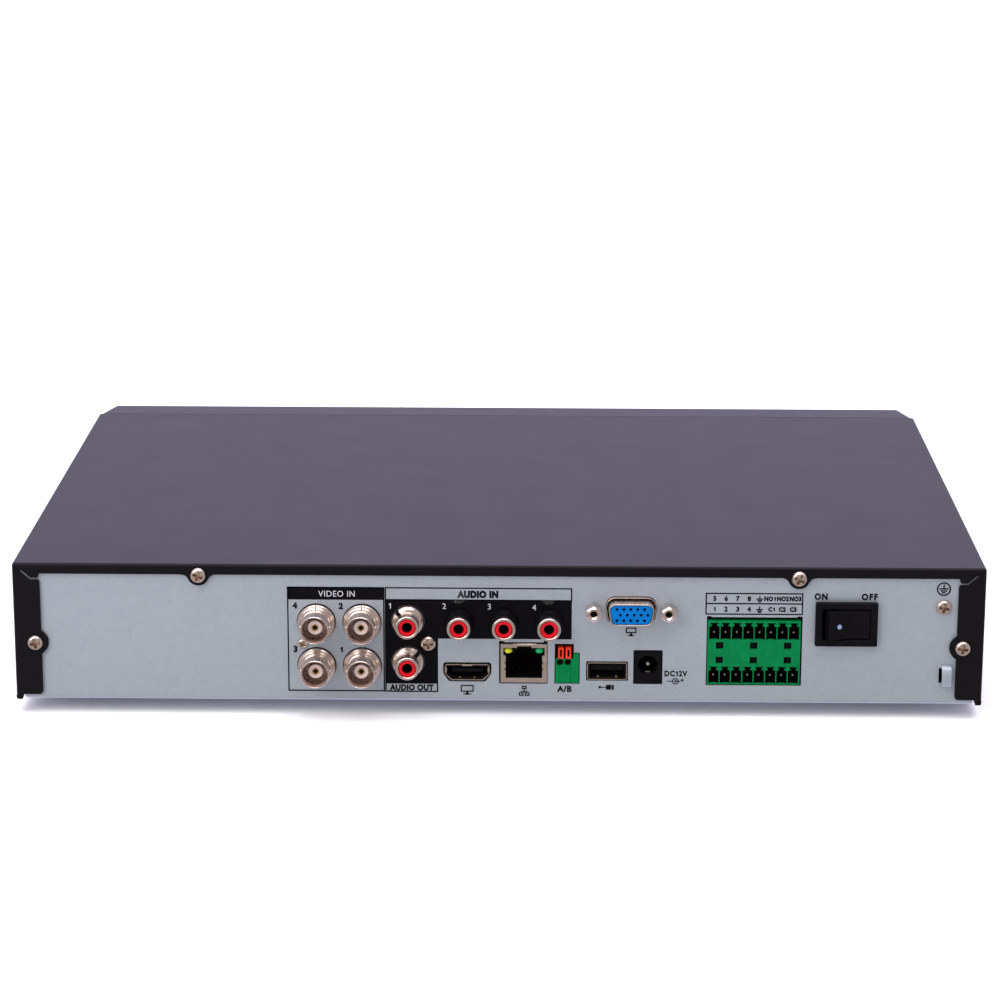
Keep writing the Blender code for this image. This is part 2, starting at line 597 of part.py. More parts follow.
def make_chassis():
    """Folded chassis: floor, rear panel, low side walls, front wall, bosses and the cable-tie bridge."""
    half, front = TRAY_HALF_WIDTH, TRAY_FRONT
    tray = boxes("chassis_tray", [((-half, 0.0, 0.0), (half, front, PANEL_TOP))], "galvanised")
    hollow = [((-half + PANEL, PANEL, PANEL), (half - PANEL, front - PANEL, PANEL_TOP + BEYOND))]
    cut(tray, boxes("tray_hollow_cutter", hollow))
    rear, ahead = PANEL + CORNER_FLANGE, front - PANEL - CORNER_FLANGE
    lowered = [((-half - BEYOND, rear, TRAY_WALL_HEIGHT), (half + BEYOND, ahead, PANEL_TOP + BEYOND))]
    cut(tray, boxes("tray_wall_cutter", lowered))
    panel = [((-PANEL_HALF_WIDTH, 0.0, PANEL_LOW_EDGE), (PANEL_HALF_WIDTH, PANEL, PANEL_TOP))]
    join(tray, boxes("panel_guide", panel))
    sunk, board_low = PANEL / 2, BOARD_TOP - BOARD_SHEET - GAP
    bosses = [(STANDOFF_RADIUS, (x, y, sunk), (x, y, board_low)) for x, y in STANDOFFS]
    bosses += [(DRIVE_BOSS_RADIUS, (x, y, sunk), (x, y, DRIVE[0][2] - GAP)) for x, y in DRIVE_BOSSES]
    join(tray, rods("boss_guide", bosses, segments=12))
    for tool in panel_cutters():
        cut(tray, tool)
    x, z, radius = FRONT_CABLE_HOLE
    cable_hole = along_y(radius, (x, z), front - BEYOND, front + BEYOND)
    cut(tray, rods("front_hole_cutter", [cable_hole], segments=12))
    (_, hook_low), _ = HOOK
    notch, low = HOOK_WIDTH / 2 + HOOK_ROOM, hook_low - HOOK_ROOM
    near, far, high = front - BEYOND, front + BEYOND, PANEL_TOP + BEYOND
    cut(tray, boxes("hook_slot_cutter", [((x - notch, near, low), (x + notch, far, high)) for x in HOOK_X]))
    join(tray, prism("bridge_guide", bridge_outline(), BRIDGE_X[0], BRIDGE_X[1], "X"))


def round_edges(item, width, segments, chosen):
    """Round the edges that a test on their two ends (in metres) chooses."""
    weights = item.data.attributes.new("bevel_weight_edge", "FLOAT", "EDGE")
    for edge, weight in zip(item.data.edges, weights.data):
        first, second = (item.data.vertices[index].co for index in edge.vertices)
        weight.value = 1.0 if chosen(first, second) else 0.0
    bevel = item.modifiers.new("Bend", "BEVEL")
    bevel.width = width * MM
    bevel.segments = segments
    bevel.limit_method = "WEIGHT"


def make_cover():
    """Folded steel cover with its rear flanges, screw lobes, side hems and side vents."""
    half, top = CASE_WIDTH / 2, CASE_HEIGHT
    cover = boxes("top_cover", [((-half, COVER_REAR, COVER_LOW_EDGE), (half, COVER_DEPTH, top))], "paint")
    high, rear = (top - 1.0) * MM, (COVER_REAR + 1.0) * MM

    def is_bend(first, second):
        on_top = first.z > high and second.z > high
        along = abs(first.x - second.x) < MM
        behind = first.y < rear and second.y < rear
        return (on_top and (along or behind)) or (behind and along)

    round_edges(cover, COVER_BEND, 2, is_bend)
    inner = half - COVER_SHEET
    hollow = ((-inner, COVER_REAR + COVER_SHEET, -BEYOND), (inner, COVER_DEPTH + BEYOND, top - COVER_SHEET))
    cut(cover, boxes("cover_hollow_cutter", [hollow]))
    opening = mirrored(half_opening())
    cut(cover, prism("cover_opening_cutter", opening, COVER_REAR - BEYOND, COVER_REAR + 2.0 * COVER_SHEET))
    near, far, outer = COVER_REAR + 2 * GAP, COVER_DEPTH - GAP, half - COVER_SHEET / 2
    hems = [((HEM_INNER, near, COVER_LOW_EDGE), (outer, far, HEM_HEIGHT)),
            ((-outer, near, COVER_LOW_EDGE), (-HEM_INNER, far, HEM_HEIGHT))]
    join(cover, boxes("hem_guide", hems))
    places = [along_y(SCREW_HOLE, centre, -BEYOND, BEYOND) for centre in cover_screw_places().values()]
    cut(cover, rods("cover_hole_cutter", places, segments=12))
    wide, tall = VENT_SIZE
    across, low, high = half + BEYOND, VENT_CENTRE - tall / 2, VENT_CENTRE + tall / 2
    rows = [VENT_FIRST + index * VENT_PITCH for index in range(VENT_COUNT)]
    vents = [((-across, y - wide / 2, low), (across, y + wide / 2, high)) for y in rows]
    cut(cover, boxes("vent_cutter", vents))


def screw_profile(scale=1.0, seat=0.0):
    """Profile of a pan-head screw whose head sits on a surface at the height seat."""
    shank, base = SCREW_SHANK * scale, seat + GAP
    crown = [(SCREW_HEAD * scale * share, base + rise * scale) for share, rise in SCREW_CROWN]
    return crown + [(shank, base), (shank, -SCREW_LENGTH), (0.0, -SCREW_LENGTH)]


def make_screws():
    """Cover screws, ground screw and the two connector block screws."""
    for name, (x, z) in cover_screw_places().items():
        turned(name, screw_profile(seat=-COVER_REAR), (x, 0.0, z), "nickel", 12)
    others = {
        "ground_screw": (GROUND_SCREW, 1.0),
        "block_screw_audio": (LARGE_BLOCK_SCREW, 1.0),
        "block_screw_coax": (SMALL_BLOCK_SCREW, SMALL_SCREW_SCALE),
    }
    for name, ((x, z), scale) in others.items():
        turned(name, screw_profile(scale), (x, 0.0, z), "nickel", 12)


def make_feet():
    """Four rubber feet."""
    for side, x in (("left", -FOOT_X), ("right", FOOT_X)):
        for end, y in zip(("rear", "front"), FOOT_Y):
            turned(f"foot_{end}_{side}", FOOT_PROFILE, (x, y, 0.0), "rubber", 20, outward=False)


def make_bnc_connectors():
    """Coaxial bayonet jacks with their bayonet lugs, and the moulded block behind them."""
    radius, near, far, height = BNC_LUG
    for number, (x, z) in BNC_CENTRES.items():
        jack = turned(f"bnc_connector_{number}", BNC_PROFILE, (x, 0.0, z), "nickel", 16)
        lugs = [(radius, (x + side * near, -height, z), (x + side * far, -height, z)) for side in (-1, 1)]
        join(jack, rods(f"bnc_lug_guide_{number}", lugs, segments=8))
    block = boxes("coax_block", [COAX_BLOCK], "black")
    cutter = along_y(SCREW_SHANK, SMALL_BLOCK_SCREW, 0.0, BLOCK_SCREW_DEPTH)
    cut(block, rods("coax_screw_cutter", [cutter], segments=12))


def make_audio_jacks():
    """Audio jacks: two in a metal flange one above the other, three in a plain row."""
    for base, group in ((FLANGED_AUDIO_BASE, FLANGED_AUDIO), (PLAIN_AUDIO_BASE, PLAIN_AUDIO)):
        for name, (x, z) in group.items():
            turned(name, AUDIO_SLEEVE + base, (x, 0.0, z), "red", 16)
    stack = boxes("audio_stack", [AUDIO_STACK], "black")
    cutter = along_y(SCREW_HOLE, LARGE_BLOCK_SCREW, 0.0, BLOCK_SCREW_DEPTH)
    cut(stack, rods("audio_screw_cutter", [cutter], segments=12))
    boxes("audio_row", [AUDIO_ROW], "black")


def make_video_socket():
    """Digital video socket: open steel shell with a tongue inside."""
    x, low, _, height = VIDEO_SOCKET
    near, far = VIDEO_REACH
    shell = prism("video_socket_shell", socket_outline(0.0), near, far, finish="nickel")
    mouth = prism("video_socket_cutter", socket_outline(-THIN_WALL), near - BEYOND, far - THIN_WALL)
    cut(shell, mouth)
    half_wide, half_tall, rise = VIDEO_TONGUE
    middle, tip = (x, low + height / 2 + rise), far - 2 * THIN_WALL
    boxes("video_socket_tongue", [centred(middle, TONGUE_SETBACK, tip, half_wide, half_tall)], "black")


def make_network_socket():
    """Network socket: shield with a lamp window on each side of the latch slot, and the moulded insert."""
    (x0, y0, z0), (x1, y1, z1) = NETWORK_BOX
    near, far = y0 - BEYOND, y0 + 2.0
    wall = THIN_WALL
    shield = boxes("network_shield", [NETWORK_BOX], "nickel")
    hollow = ((x0 + wall, y0 + wall, z0 + wall), (x1 - wall, y1 - wall, z1 - wall))
    cut(shield, boxes("network_hollow_cutter", [hollow]))
    (left, low), (right, high) = NETWORK_WINDOW
    cut(shield, boxes("network_port_cutter", [((left, near, low), (right, far, high))]))
    (slot_left, slot_low), (slot_right, slot_high) = LATCH_SLOT
    upper = [((slot_left, near, slot_low), (slot_right, far, slot_high))]
    lamp_low, lamp_high = LAMP_WINDOW_Z
    upper += [((first, near, lamp_low), (last, far, lamp_high)) for first, last in LAMP_WINDOWS]
    cut(shield, boxes("network_lamp_cutter", upper))
    room = wall + GAP
    body = ((x0 + room, y0 + room, z0 + room), (x1 - room, y1 - room, z1 - room))
    insert = boxes("network_insert", [body], "black")
    lip, latch_high = NETWORK_LIP, slot_high - NETWORK_ROOF
    bore = ((left + lip, near, low + lip), (right - lip, NETWORK_BORE, high - lip / 2))
    latch = ((slot_left + lip, near, slot_low), (slot_right - lip, NETWORK_LATCH, latch_high))
    cut(insert, boxes("network_bore_cutter", [bore]))
    cut(insert, boxes("network_latch_cutter", [latch]))


def make_serial_terminal():
    """Spring terminal for the serial bus, with two release levers that push in."""
    body = boxes("serial_terminal", [SERIAL_BODY], "green")
    join(body, boxes("serial_tower_guide", [SERIAL_TOWER]))
    low_x, high_x = LEVER_X["serial_lever_a"][0] - GAP, LEVER_X["serial_lever_b"][1] + GAP
    depth = LEVER_FRONT + LEVER_LENGTH + LEVER_TRAVEL + GAP
    channel = ((low_x, -BEYOND, LEVER_Z[0] - GAP), (high_x, depth, LEVER_Z[1] + GAP))
    cut(body, boxes("serial_channel_cutter", [channel]))
    radius, hole_depth = WIRE_HOLE
    holes = [along_y(radius, centre, -BEYOND, hole_depth) for centre in WIRE_HOLES]
    cut(body, rods("serial_wire_cutter", holes, segments=12))
    half_wide, half_tall, slot_depth = LEVER_SLOT
    for name, (left, right) in LEVER_X.items():
        middle = ((left + right) / 2, sum(LEVER_Z) / 2)
        corners = ((left, LEVER_FRONT, LEVER_Z[0]), (right, LEVER_FRONT + LEVER_LENGTH, LEVER_Z[1]))
        lever = boxes(name, [corners], "orange", (middle[0], LEVER_FRONT, middle[1]))
        slot = centred(middle, LEVER_FRONT - 1.0, LEVER_FRONT + slot_depth, half_wide, half_tall)
        cut(lever, boxes(f"{name}_slot_cutter", [slot]))


def data_socket(shell_name, box, mouth):
    """Steel shell of a data socket, open at its mouth: -1 opens towards the rear, 1 towards the front."""
    (x0, y0, z0), (x1, y1, z1) = box
    wall = THIN_WALL
    shell = boxes(shell_name, [box], "nickel")
    near, far = (y0 - BEYOND, y1 - wall) if mouth < 0 else (y0 + wall, y1 + BEYOND)
    inner = ((x0 + wall, near, z0 + wall), (x1 - wall, far, z1 - wall))
    cut(shell, boxes(f"{shell_name}_cutter", [inner]))
    return shell


def make_data_sockets():
    """Rear data socket with its tongue, and the front socket with its tongue moulded in."""
    data_socket("usb_shell", USB_BOX, -1)
    side, drop_low, drop_high = USB_TONGUE
    (x0, _, _), (x1, y1, z1) = USB_BOX
    tongue = ((x0 + side, TONGUE_SETBACK, z1 - drop_low), (x1 - side, y1 - side, z1 - drop_high))
    boxes("usb_tongue", [tongue], "black")
    front = data_socket("front_usb_socket", FRONT_USB, 1)
    (x0, y0, _), (x1, y1, z1) = FRONT_USB
    tongue = ((x0 + side, y0 + THIN_WALL / 2, z1 - drop_low), (x1 - side, y1 - side, z1 - drop_high))
    join(front, boxes("front_tongue_guide", [tongue]))


def make_power_jack():
    """Barrel power jack with its centre pin."""
    jack = boxes("power_jack", [POWER_BOX], "black")
    bore, bore_depth, pin, pin_near = POWER_BORE
    cut(jack, rods("power_bore_cutter", [along_y(bore, POWER_CENTRE, -BEYOND, bore_depth)], segments=24))
    centre_pin = along_y(pin, POWER_CENTRE, pin_near, bore_depth + GAP)
    join(jack, rods("power_pin_guide", [centre_pin], segments=10))


def make_monitor_socket():
    """Fifteen-pole monitor socket: flanged shell, moulded insert with its housing, and two jackscrews."""
    x, z = MONITOR_CENTRE
    wide, tall = MONITOR_FLANGE
    seat, depth = PANEL + GAP, MONITOR_HOUSING_DEPTH
    plate = centred(MONITOR_CENTRE, seat, seat + COVER_SHEET, wide / 2, tall / 2)
    shell = boxes("monitor_shell", [plate], "nickel")
    sunk = seat + COVER_SHEET / 2
    join(shell, prism("monitor_shell_guide", monitor_outline(0.0), -MONITOR_REACH, sunk))
    join(shell, prism("monitor_base_guide", monitor_outline(MONITOR_BASE_STEP), -MONITOR_BASE_REACH, sunk))
    bore = prism("monitor_shell_cutter", monitor_outline(-THIN_WALL), -MONITOR_REACH - 2.0, BEYOND)
    cut(shell, bore)
    studs = [along_y(SCREW_HOLE, centre, -BEYOND, depth - 2.0) for centre in jackscrew_places().values()]
    cut(shell, rods("monitor_stud_cutter", studs, segments=12))
    behind = seat + COVER_SHEET + GAP
    housing = ((x - wide / 2, behind, UPPER_BOARD[1][2] + GAP), (x + wide / 2, depth, z + tall / 2))
    insert = boxes("monitor_insert", [housing], "blue")
    core = monitor_outline(-THIN_WALL - GAP)
    join(insert, prism("monitor_insert_guide", core, GAP - MONITOR_REACH, behind + 1.0))
    cut(insert, rods("monitor_insert_stud_cutter", studs, segments=12))
    head, reach, stud, thread = JACKSCREW
    for name, centre in jackscrew_places().items():
        nut = prism(name, arc(centre, head, 30.0, 330.0, 5), -reach, -GAP, finish="nickel")
        join(nut, rods(f"{name}_stud_guide", [along_y(stud, centre, -PANEL, thread)], segments=12))
        hole = along_y(stud, centre, -reach - 1.0, -PANEL - 1.0)
        cut(nut, rods(f"{name}_thread_cutter", [hole], segments=12))


def make_alarm_terminal():
    """Two-row header for pluggable alarm terminals, with a pin in each socket."""
    block = boxes("alarm_terminal", [ALARM_BOX], "green")
    wide, tall, deep = ALARM_SOCKET
    half_pin, pin_front = ALARM_PIN
    columns = [ALARM_FIRST + way * ALARM_PITCH for way in range(ALARM_WAYS)]
    pockets, pins = [], []
    for low, pin_z in ALARM_ROWS:
        middle = low + tall / 2
        pockets += [centred((x, middle), -BEYOND, deep, wide / 2, tall / 2) for x in columns]
        pins += [centred((x, pin_z), pin_front, deep + GAP, half_pin, half_pin) for x in columns]
    wide, tall, deep = ALARM_WINDOW
    windows = [(x, z) for x in ALARM_WINDOWS_X for z in ALARM_WINDOWS_Z]
    pockets += [centred(centre, -BEYOND, deep, wide / 2, tall / 2) for centre in windows]
    cut(block, boxes("alarm_pocket_cutter", pockets))
    join(block, boxes("alarm_pin_guide", pins))


def make_switch():
    """Rocker power switch: housing with a bezel, and the rocker on its trunnions, at rest on OFF."""
    x, z = SWITCH_CENTRE
    wide, tall, thick = SWITCH_BEZEL
    bezel = centred(SWITCH_CENTRE, -thick - GAP, -GAP, wide / 2, tall / 2)
    housing = boxes("switch_housing", [bezel], "black")
    wide, tall, deep = SWITCH_BODY
    join(housing, boxes("switch_body_guide", [centred(SWITCH_CENTRE, -1.0, deep, wide / 2, tall / 2)]))
    wide, tall, depth = SWITCH_OPENING
    mouth = centred(SWITCH_CENTRE, -thick - BEYOND, depth, wide / 2, tall / 2)
    cut(housing, boxes("switch_opening_cutter", [mouth]))
    y, bearing = SWITCH_PIVOT_Y, TRUNNION_HALF + 2.0
    pivot = [(TRUNNION_RADIUS + GAP, (x, y, z - bearing), (x, y, z + bearing))]
    cut(housing, rods("switch_pivot_cutter", pivot, segments=12))
    tilt, half = math.radians(SWITCH_REST_TILT), ROCKER_HALF_WIDTH
    rocker = prism("switch_rocker", ROCKER_OUTLINE, -half, half, "Z", "black", (x, y, z), tilt)
    trunnion = [(TRUNNION_RADIUS, (x, y, z - TRUNNION_HALF), (x, y, z + TRUNNION_HALF))]
    join(rocker, rods("trunnion_guide", trunnion, segments=12))


def upright(chip):
    """Corners of a component (x, y, width, depth, height) that stands on the main board."""
    x, y, wide, deep, tall = chip
    low = BOARD_TOP - COMPONENT_ROOT
    return (x - wide / 2, y - deep / 2, low), (x + wide / 2, y + deep / 2, BOARD_TOP + tall)


def make_boards():
    """Main board with its components, and the raised board on its spacers."""
    (x0, y0), (x1, y1) = MAIN_BOARD
    board = boxes("main_board", [((x0, y0, BOARD_TOP - BOARD_SHEET), (x1, y1, BOARD_TOP))], "board")
    join(board, boxes("chip_guide", [upright(chip) for chip in CHIPS]))
    root = BOARD_TOP - COMPONENT_ROOT
    cans = [(radius, (x, y, root), (x, y, BOARD_TOP + tall)) for x, y, radius, tall in CAPACITORS]
    join(board, rods("capacitor_guide", cans, segments=12))
    upper = boxes("upper_board", [UPPER_BOARD], "board")
    level = UPPER_BOARD[0][2] + COMPONENT_ROOT
    posts = [(SPACER_RADIUS, (x, y, BOARD_TOP + GAP), (x, y, level)) for x, y in SPACERS]
    join(upper, rods("spacer_guide", posts, segments=10))


def make_heatsink():
    """Finned heat sink over the main chip."""
    sink = boxes("heatsink", [HEATSINK], "aluminium")
    (left, rear, low), (right, front, high) = HEATSINK
    step, half = (right - left) / HEATSINK_SLOTS, HEATSINK_SLOT / 2
    near, far, base, above = rear - BEYOND, front + BEYOND, low + HEATSINK_BASE, high + BEYOND
    middles = [left + (index + 0.5) * step for index in range(HEATSINK_SLOTS)]
    cut(sink, boxes("heatsink_cutter", [((x - half, near, base), (x + half, far, above)) for x in middles]))


def make_clock_cell():
    """Clock cell in its round holder."""
    low = BOARD_TOP + GAP
    floor, rim = low + HOLDER_FLOOR, low + HOLDER_HEIGHT
    bore, outer = CELL_RADIUS + CELL_ROOM, HOLDER_RADIUS
    holder = [(0.0, floor), (bore, floor), (bore, rim), (outer, rim), (outer, low), (0.0, low)]
    turned("cell_holder", holder, (*CELL_CENTRE, 0.0), "black", 20, outward=False)
    base, top = floor + GAP, floor + GAP + CELL_THICKNESS
    cell = [(0.0, top), (CELL_RADIUS, top), (CELL_RADIUS, base), (0.0, base)]
    turned("coin_cell", cell, (*CELL_CENTRE, 0.0), "steel", 20, outward=False)


def make_drive():
    """Hard drive: casting, lid, platter on its spindle, head arm on its pivot, and circuit board."""
    (x0, y0, _), (x1, y1, top) = DRIVE
    casting = boxes("drive_base", [DRIVE], "aluminium")
    (x, y), above = SPINDLE, top + BEYOND
    pocket = [(PLATTER_POCKET, (x, y, DRIVE_FLOOR), (x, y, above))]
    cut(casting, rods("platter_pocket_cutter", pocket, segments=40))
    (left, rear), (right, front) = ARM_POCKET
    cut(casting, boxes("arm_pocket_cutter", [((left, rear, DRIVE_FLOOR), (right, front, above))]))
    cut(casting, boxes("drive_recess_cutter", [DRIVE_BOARD_RECESS]))
    boxes("drive_cover", [((x0, y0, top + GAP), (x1, y1, top + GAP + DRIVE_LID))], "steel")
    turned("drive_platter", PLATTER_PROFILE, (*SPINDLE, 0.0), "mirror", 32, outward=False)
    pivot = (*ARM_PIVOT, 0.0)
    angle = math.radians(ARM_PARK_ANGLE)
    arm = prism("drive_arm", ARM_OUTLINE, ARM_LEVEL[0], ARM_LEVEL[1], "Z", "aluminium", pivot, angle)
    radius, low, high = ARM_HUB
    join(arm, rods("arm_hub_guide", [(radius, (*ARM_PIVOT, low), (*ARM_PIVOT, high))], segments=20))
    boxes("drive_board", [DRIVE_BOARD], "board")


def make_bezel():
    """Hollow front bezel with its hooks, board posts and openings."""
    deep, high = -BEYOND, CASE_HEIGHT + BEYOND
    bezel = prism("front_bezel", mirrored(list(BEZEL_PLAN)), deep, high, "Z", "gloss")
    side = prism("bezel_side_guide", BEZEL_SIDE, -CASE_WIDTH, CASE_WIDTH, "X")
    boolean(bezel, side, "INTERSECT")
    hollow = prism("bezel_hollow_cutter", mirrored(list(BEZEL_INNER_PLAN)), deep, high, "Z")
    inner_side = prism("bezel_hollow_guide", BEZEL_INNER_SIDE, -CASE_WIDTH, CASE_WIDTH, "X")
    boolean(hollow, inner_side, "INTERSECT")
    cut(bezel, hollow)
    (hook_rear, low), (hook_front, top) = HOOK
    half = HOOK_WIDTH / 2
    hooks = [((x - half, hook_rear, low), (x + half, hook_front, top)) for x in HOOK_X]
    join(bezel, boxes("hook_guide", hooks))
    post_rear = FRONT_BOARD[1][1] + GAP
    posts = [along_y(POST_RADIUS, centre, post_rear, BODY_DEPTH - 1.0) for centre in BOSS_POSTS]
    join(bezel, rods("post_guide", posts, segments=12))
    (left, bottom), (right, ceiling) = WINDOW
    (ux0, _, uz0), (ux1, _, uz1) = FRONT_USB
    near, far = BODY_DEPTH - BEYOND, BODY_DEPTH + BEYOND
    view = ((left, near, bottom), (right, far, ceiling))
    port = ((ux0 - GAP, near, uz0 - GAP), (ux1 + GAP, far, uz1 + GAP))
    cut(bezel, boxes("bezel_opening_cutter", [view, port]))


def make_window():
    """Dark window with a rim that holds it behind the bezel's wall."""
    (left, bottom), (right, ceiling) = WINDOW
    rear, front, rim_front, rim = WINDOW_PANE
    pane = ((left + GAP, rear, bottom + GAP), (right - GAP, front, ceiling - GAP))
    window = boxes("front_window", [pane], "smoke")
    edge = ((left - rim, rear + 0.2, bottom - rim), (right + rim, rim_front, ceiling + rim))
    join(window, boxes("window_rim_guide", [edge]))


def make_front_board():
    """Lamp and receiver board behind the bezel."""
    board = boxes("front_board", [FRONT_BOARD], "board")
    level = FRONT_BOARD[1][1]
    radius, reach = FRONT_LAMP
    lamps = [along_y(radius, centre, level - COMPONENT_ROOT, level + reach) for centre in LAMPS]
    join(board, rods("lamp_guide", lamps, segments=12))
    join(board, boxes("receiver_guide", [RECEIVER]))


def tube_mesh(name, radius, points):
    """Tube with closed ends along a chain of points."""
    curve = bpy.data.curves.new(name, "CURVE")
    curve.dimensions = "3D"
    curve.bevel_depth = radius
    curve.bevel_resolution = 2
    curve.use_fill_caps = True
    spline = curve.splines.new("POLY")
    spline.points.add(len(points) - 1)
    for point, place_of in zip(spline.points, points):
        point.co = (*place_of, 1.0)
    return curve_mesh(name, curve)


def spline_point(a, b, c, d, t):
    """Point at a share t of the way from b to c on a smooth curve through four points."""
    bend, twist = 2 * a - 5 * b + 4 * c - d, 3 * b - a - 3 * c + d
    return 0.5 * (2 * b + (c - a) * t + bend * t * t + twist * t ** 3)


def smooth_route(points, steps=2):
    """Points of a smooth curve through the route's own points."""
    ends = [Vector(point) for point in (points[0], *points, points[-1])]
    route = []
    for a, b, c, d in zip(ends, ends[1:], ends[2:], ends[3:]):
        route += [spline_point(a, b, c, d, step / steps) for step in range(steps)]
    return route + [Vector(points[-1])]


def make_cables():
    """Cables inside the case, each with the plug on its two ends."""
    for name, (radius, points, first, second) in CABLES.items():
        cable = place(name, mesh_from(name, tube_mesh(name, radius, smooth_route(points))), finish="cable")
        join(cable, boxes(f"{name}_plug_guide", [first, second]))


clear_scene()
PARTS = make_collection("video_recorder")
CUTTERS = make_collection("video_recorder_cutters")
FRAME = make_frame()
make_chassis()
make_cover()
make_screws()
make_feet()
make_bnc_connectors()
make_audio_jacks()
make_video_socket()
make_network_socket()
make_serial_terminal()
make_data_sockets()
make_power_jack()
make_monitor_socket()
make_alarm_terminal()
make_switch()
make_boards()
make_heatsink()
make_clock_cell()
make_drive()
make_bezel()
make_window()
make_front_board()
make_cables()
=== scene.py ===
"""Looks of the slim video recorder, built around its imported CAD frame.

Lengths are millimetres in the case frame (x to the right as seen from the rear, y inwards from the rear
panel's outer face, z up from the underside of the case) unless a name says otherwise. The case frame's
origin and the places of the connectors are read from the CAD nodes.
"""
import math

import bmesh
import bpy
from mathutils import Matrix, Vector


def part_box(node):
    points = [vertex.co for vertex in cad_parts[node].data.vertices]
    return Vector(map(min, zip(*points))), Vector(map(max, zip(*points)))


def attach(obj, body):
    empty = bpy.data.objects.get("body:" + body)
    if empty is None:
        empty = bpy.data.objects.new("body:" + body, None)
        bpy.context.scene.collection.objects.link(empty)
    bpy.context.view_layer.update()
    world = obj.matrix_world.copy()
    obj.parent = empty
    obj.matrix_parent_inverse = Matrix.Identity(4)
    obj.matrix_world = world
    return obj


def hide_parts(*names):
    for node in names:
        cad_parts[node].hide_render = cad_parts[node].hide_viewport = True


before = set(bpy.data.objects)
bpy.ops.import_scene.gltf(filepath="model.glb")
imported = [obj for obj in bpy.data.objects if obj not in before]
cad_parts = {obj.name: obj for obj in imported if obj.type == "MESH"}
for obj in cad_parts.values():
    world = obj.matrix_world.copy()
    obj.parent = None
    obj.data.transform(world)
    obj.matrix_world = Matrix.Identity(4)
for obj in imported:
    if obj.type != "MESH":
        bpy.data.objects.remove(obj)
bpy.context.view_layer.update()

MM = 0.001
FLANGE_PROUD = 1.1
BODY = "recorder"
ORIGIN = Vector((0.0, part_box("top_cover")[0][1] / MM + FLANGE_PROUD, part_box("chassis_tray")[0][2] / MM))
# steps of a circle and of a turned solid, and the distance that welds vertices
ROUND = 48
FINE = 64
WELD = 0.0005
# radius of the larger pan heads, and the CAD nodes that come in groups
SCREW_HEAD = 2.6
COVER_SCREWS = ("cover_screw_top_left", "cover_screw_top_right", "cover_screw_side_left",
                "cover_screw_side_right")
OTHER_SCREWS = ("ground_screw", "block_screw_audio", "monitor_jackscrew_left", "monitor_jackscrew_right")
COAX_JACKS = tuple(f"bnc_connector_{number}" for number in range(1, 5))
FLANGED_JACKS = ("audio_in_jack_1", "audio_out_jack")
ROW_JACKS = tuple(f"audio_in_jack_{number}" for number in (2, 3, 4))
# pitches and places inside the connectors
ALARM_PITCH = 3.81
ALARM_COLUMNS = (72.3, 76.1, 80.0, 83.8)
MONITOR_PITCH, MONITOR_ROW = 2.29, 1.95
NETWORK_PITCH = 1.02
VIDEO_PITCH = 0.99
LATCH_LEFT, LATCH_RIGHT = 6.3, 11.2
SERIAL_STEP = (25.4, 17.5)
SERIAL_HOLES, SERIAL_HOLE_LEVEL = (20.8, 23.4), 14.2
ALARM_ROWS = ((22.5, 24.65), (7.1, 9.65))
WINDOW_COLUMNS, WINDOW_ROWS = (74.2, 85.6, 97.0), (20.4, 15.3)
ROCKER_TILT = 10.0
BARREL = (50.3, 13.3)
# back edge of the bezel, and the middle of its window
BEZEL_REAR = 212.3
PANE = (-80.0, 21.0)


# ---- places from the frame

def extent(node):
    """Lowest and highest corner of a CAD node in the case frame, in millimetres."""
    low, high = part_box(node)
    return Vector(low) / MM - ORIGIN, Vector(high) / MM - ORIGIN


def spot(node):
    """(x, z) of the middle of a CAD node."""
    low, high = extent(node)
    return (low.x + high.x) / 2, (low.z + high.z) / 2


# ---- outlines

def circle(x, z, radius, count=ROUND):
    """Points of a circle."""
    return [(x + radius * math.cos(math.tau * i / count), z + radius * math.sin(math.tau * i / count))
            for i in range(count)]


def arc(x, z, radius, start, end, count=8):
    """Points of an arc between two angles in degrees."""
    angles = [math.radians(start + (end - start) * i / count) for i in range(count + 1)]
    return [(x + radius * math.cos(a), z + radius * math.sin(a)) for a in angles]


def rectangle(x0, z0, x1, z1):
    """Corners of a rectangle."""
    return [(x0, z0), (x1, z0), (x1, z1), (x0, z1)]


def grown(low, high, margin):
    """Rear outline of a box, grown by a margin."""
    return rectangle(low.x - margin, low.z - margin, high.x + margin, high.z + margin)


def centred(x, z, half_x, half_z):
    """Rectangle about a point."""
    return rectangle(x - half_x, z - half_z, x + half_x, z + half_z)


def mirrored(points):
    """Outline closed by the mirror image of its right half."""
    return points + [(-x, y) for x, y in reversed(points)]


def rounded(points, radius, count=5):
    """Outline with its corners rounded; radius is one number or one for each corner."""
    radii = radius if isinstance(radius, (list, tuple)) else [radius] * len(points)
    result = []
    for i, corner in enumerate(points):
        r = radii[i]
        if r <= 0:
            result.append(corner)
            continue
        here = Vector(corner)
        before = (Vector(points[i - 1]) - here).normalized()
        after = (Vector(points[(i + 1) % len(points)]) - here).normalized()
        half = before.angle(after) / 2
        reach = r / math.tan(half)
        centre = here + (before + after).normalized() * (r / math.sin(half))
        first, last = here + before * reach - centre, here + after * reach - centre
        turn = first.angle_signed(last)
        for step in range(count + 1):
            t = -turn * step / count
            x = first.x * math.cos(t) - first.y * math.sin(t)
            z = first.x * math.sin(t) + first.y * math.cos(t)
            result.append((centre.x + x, centre.y + z))
    return result


def slot_outline(x0, z0, x1, z1):
    """Upright slot with round ends."""
    r = (x1 - x0) / 2
    middle = (x0 + x1) / 2
    return arc(middle, z1 - r, r, 0, 180, 8) + arc(middle, z0 + r, r, 180, 360, 8)


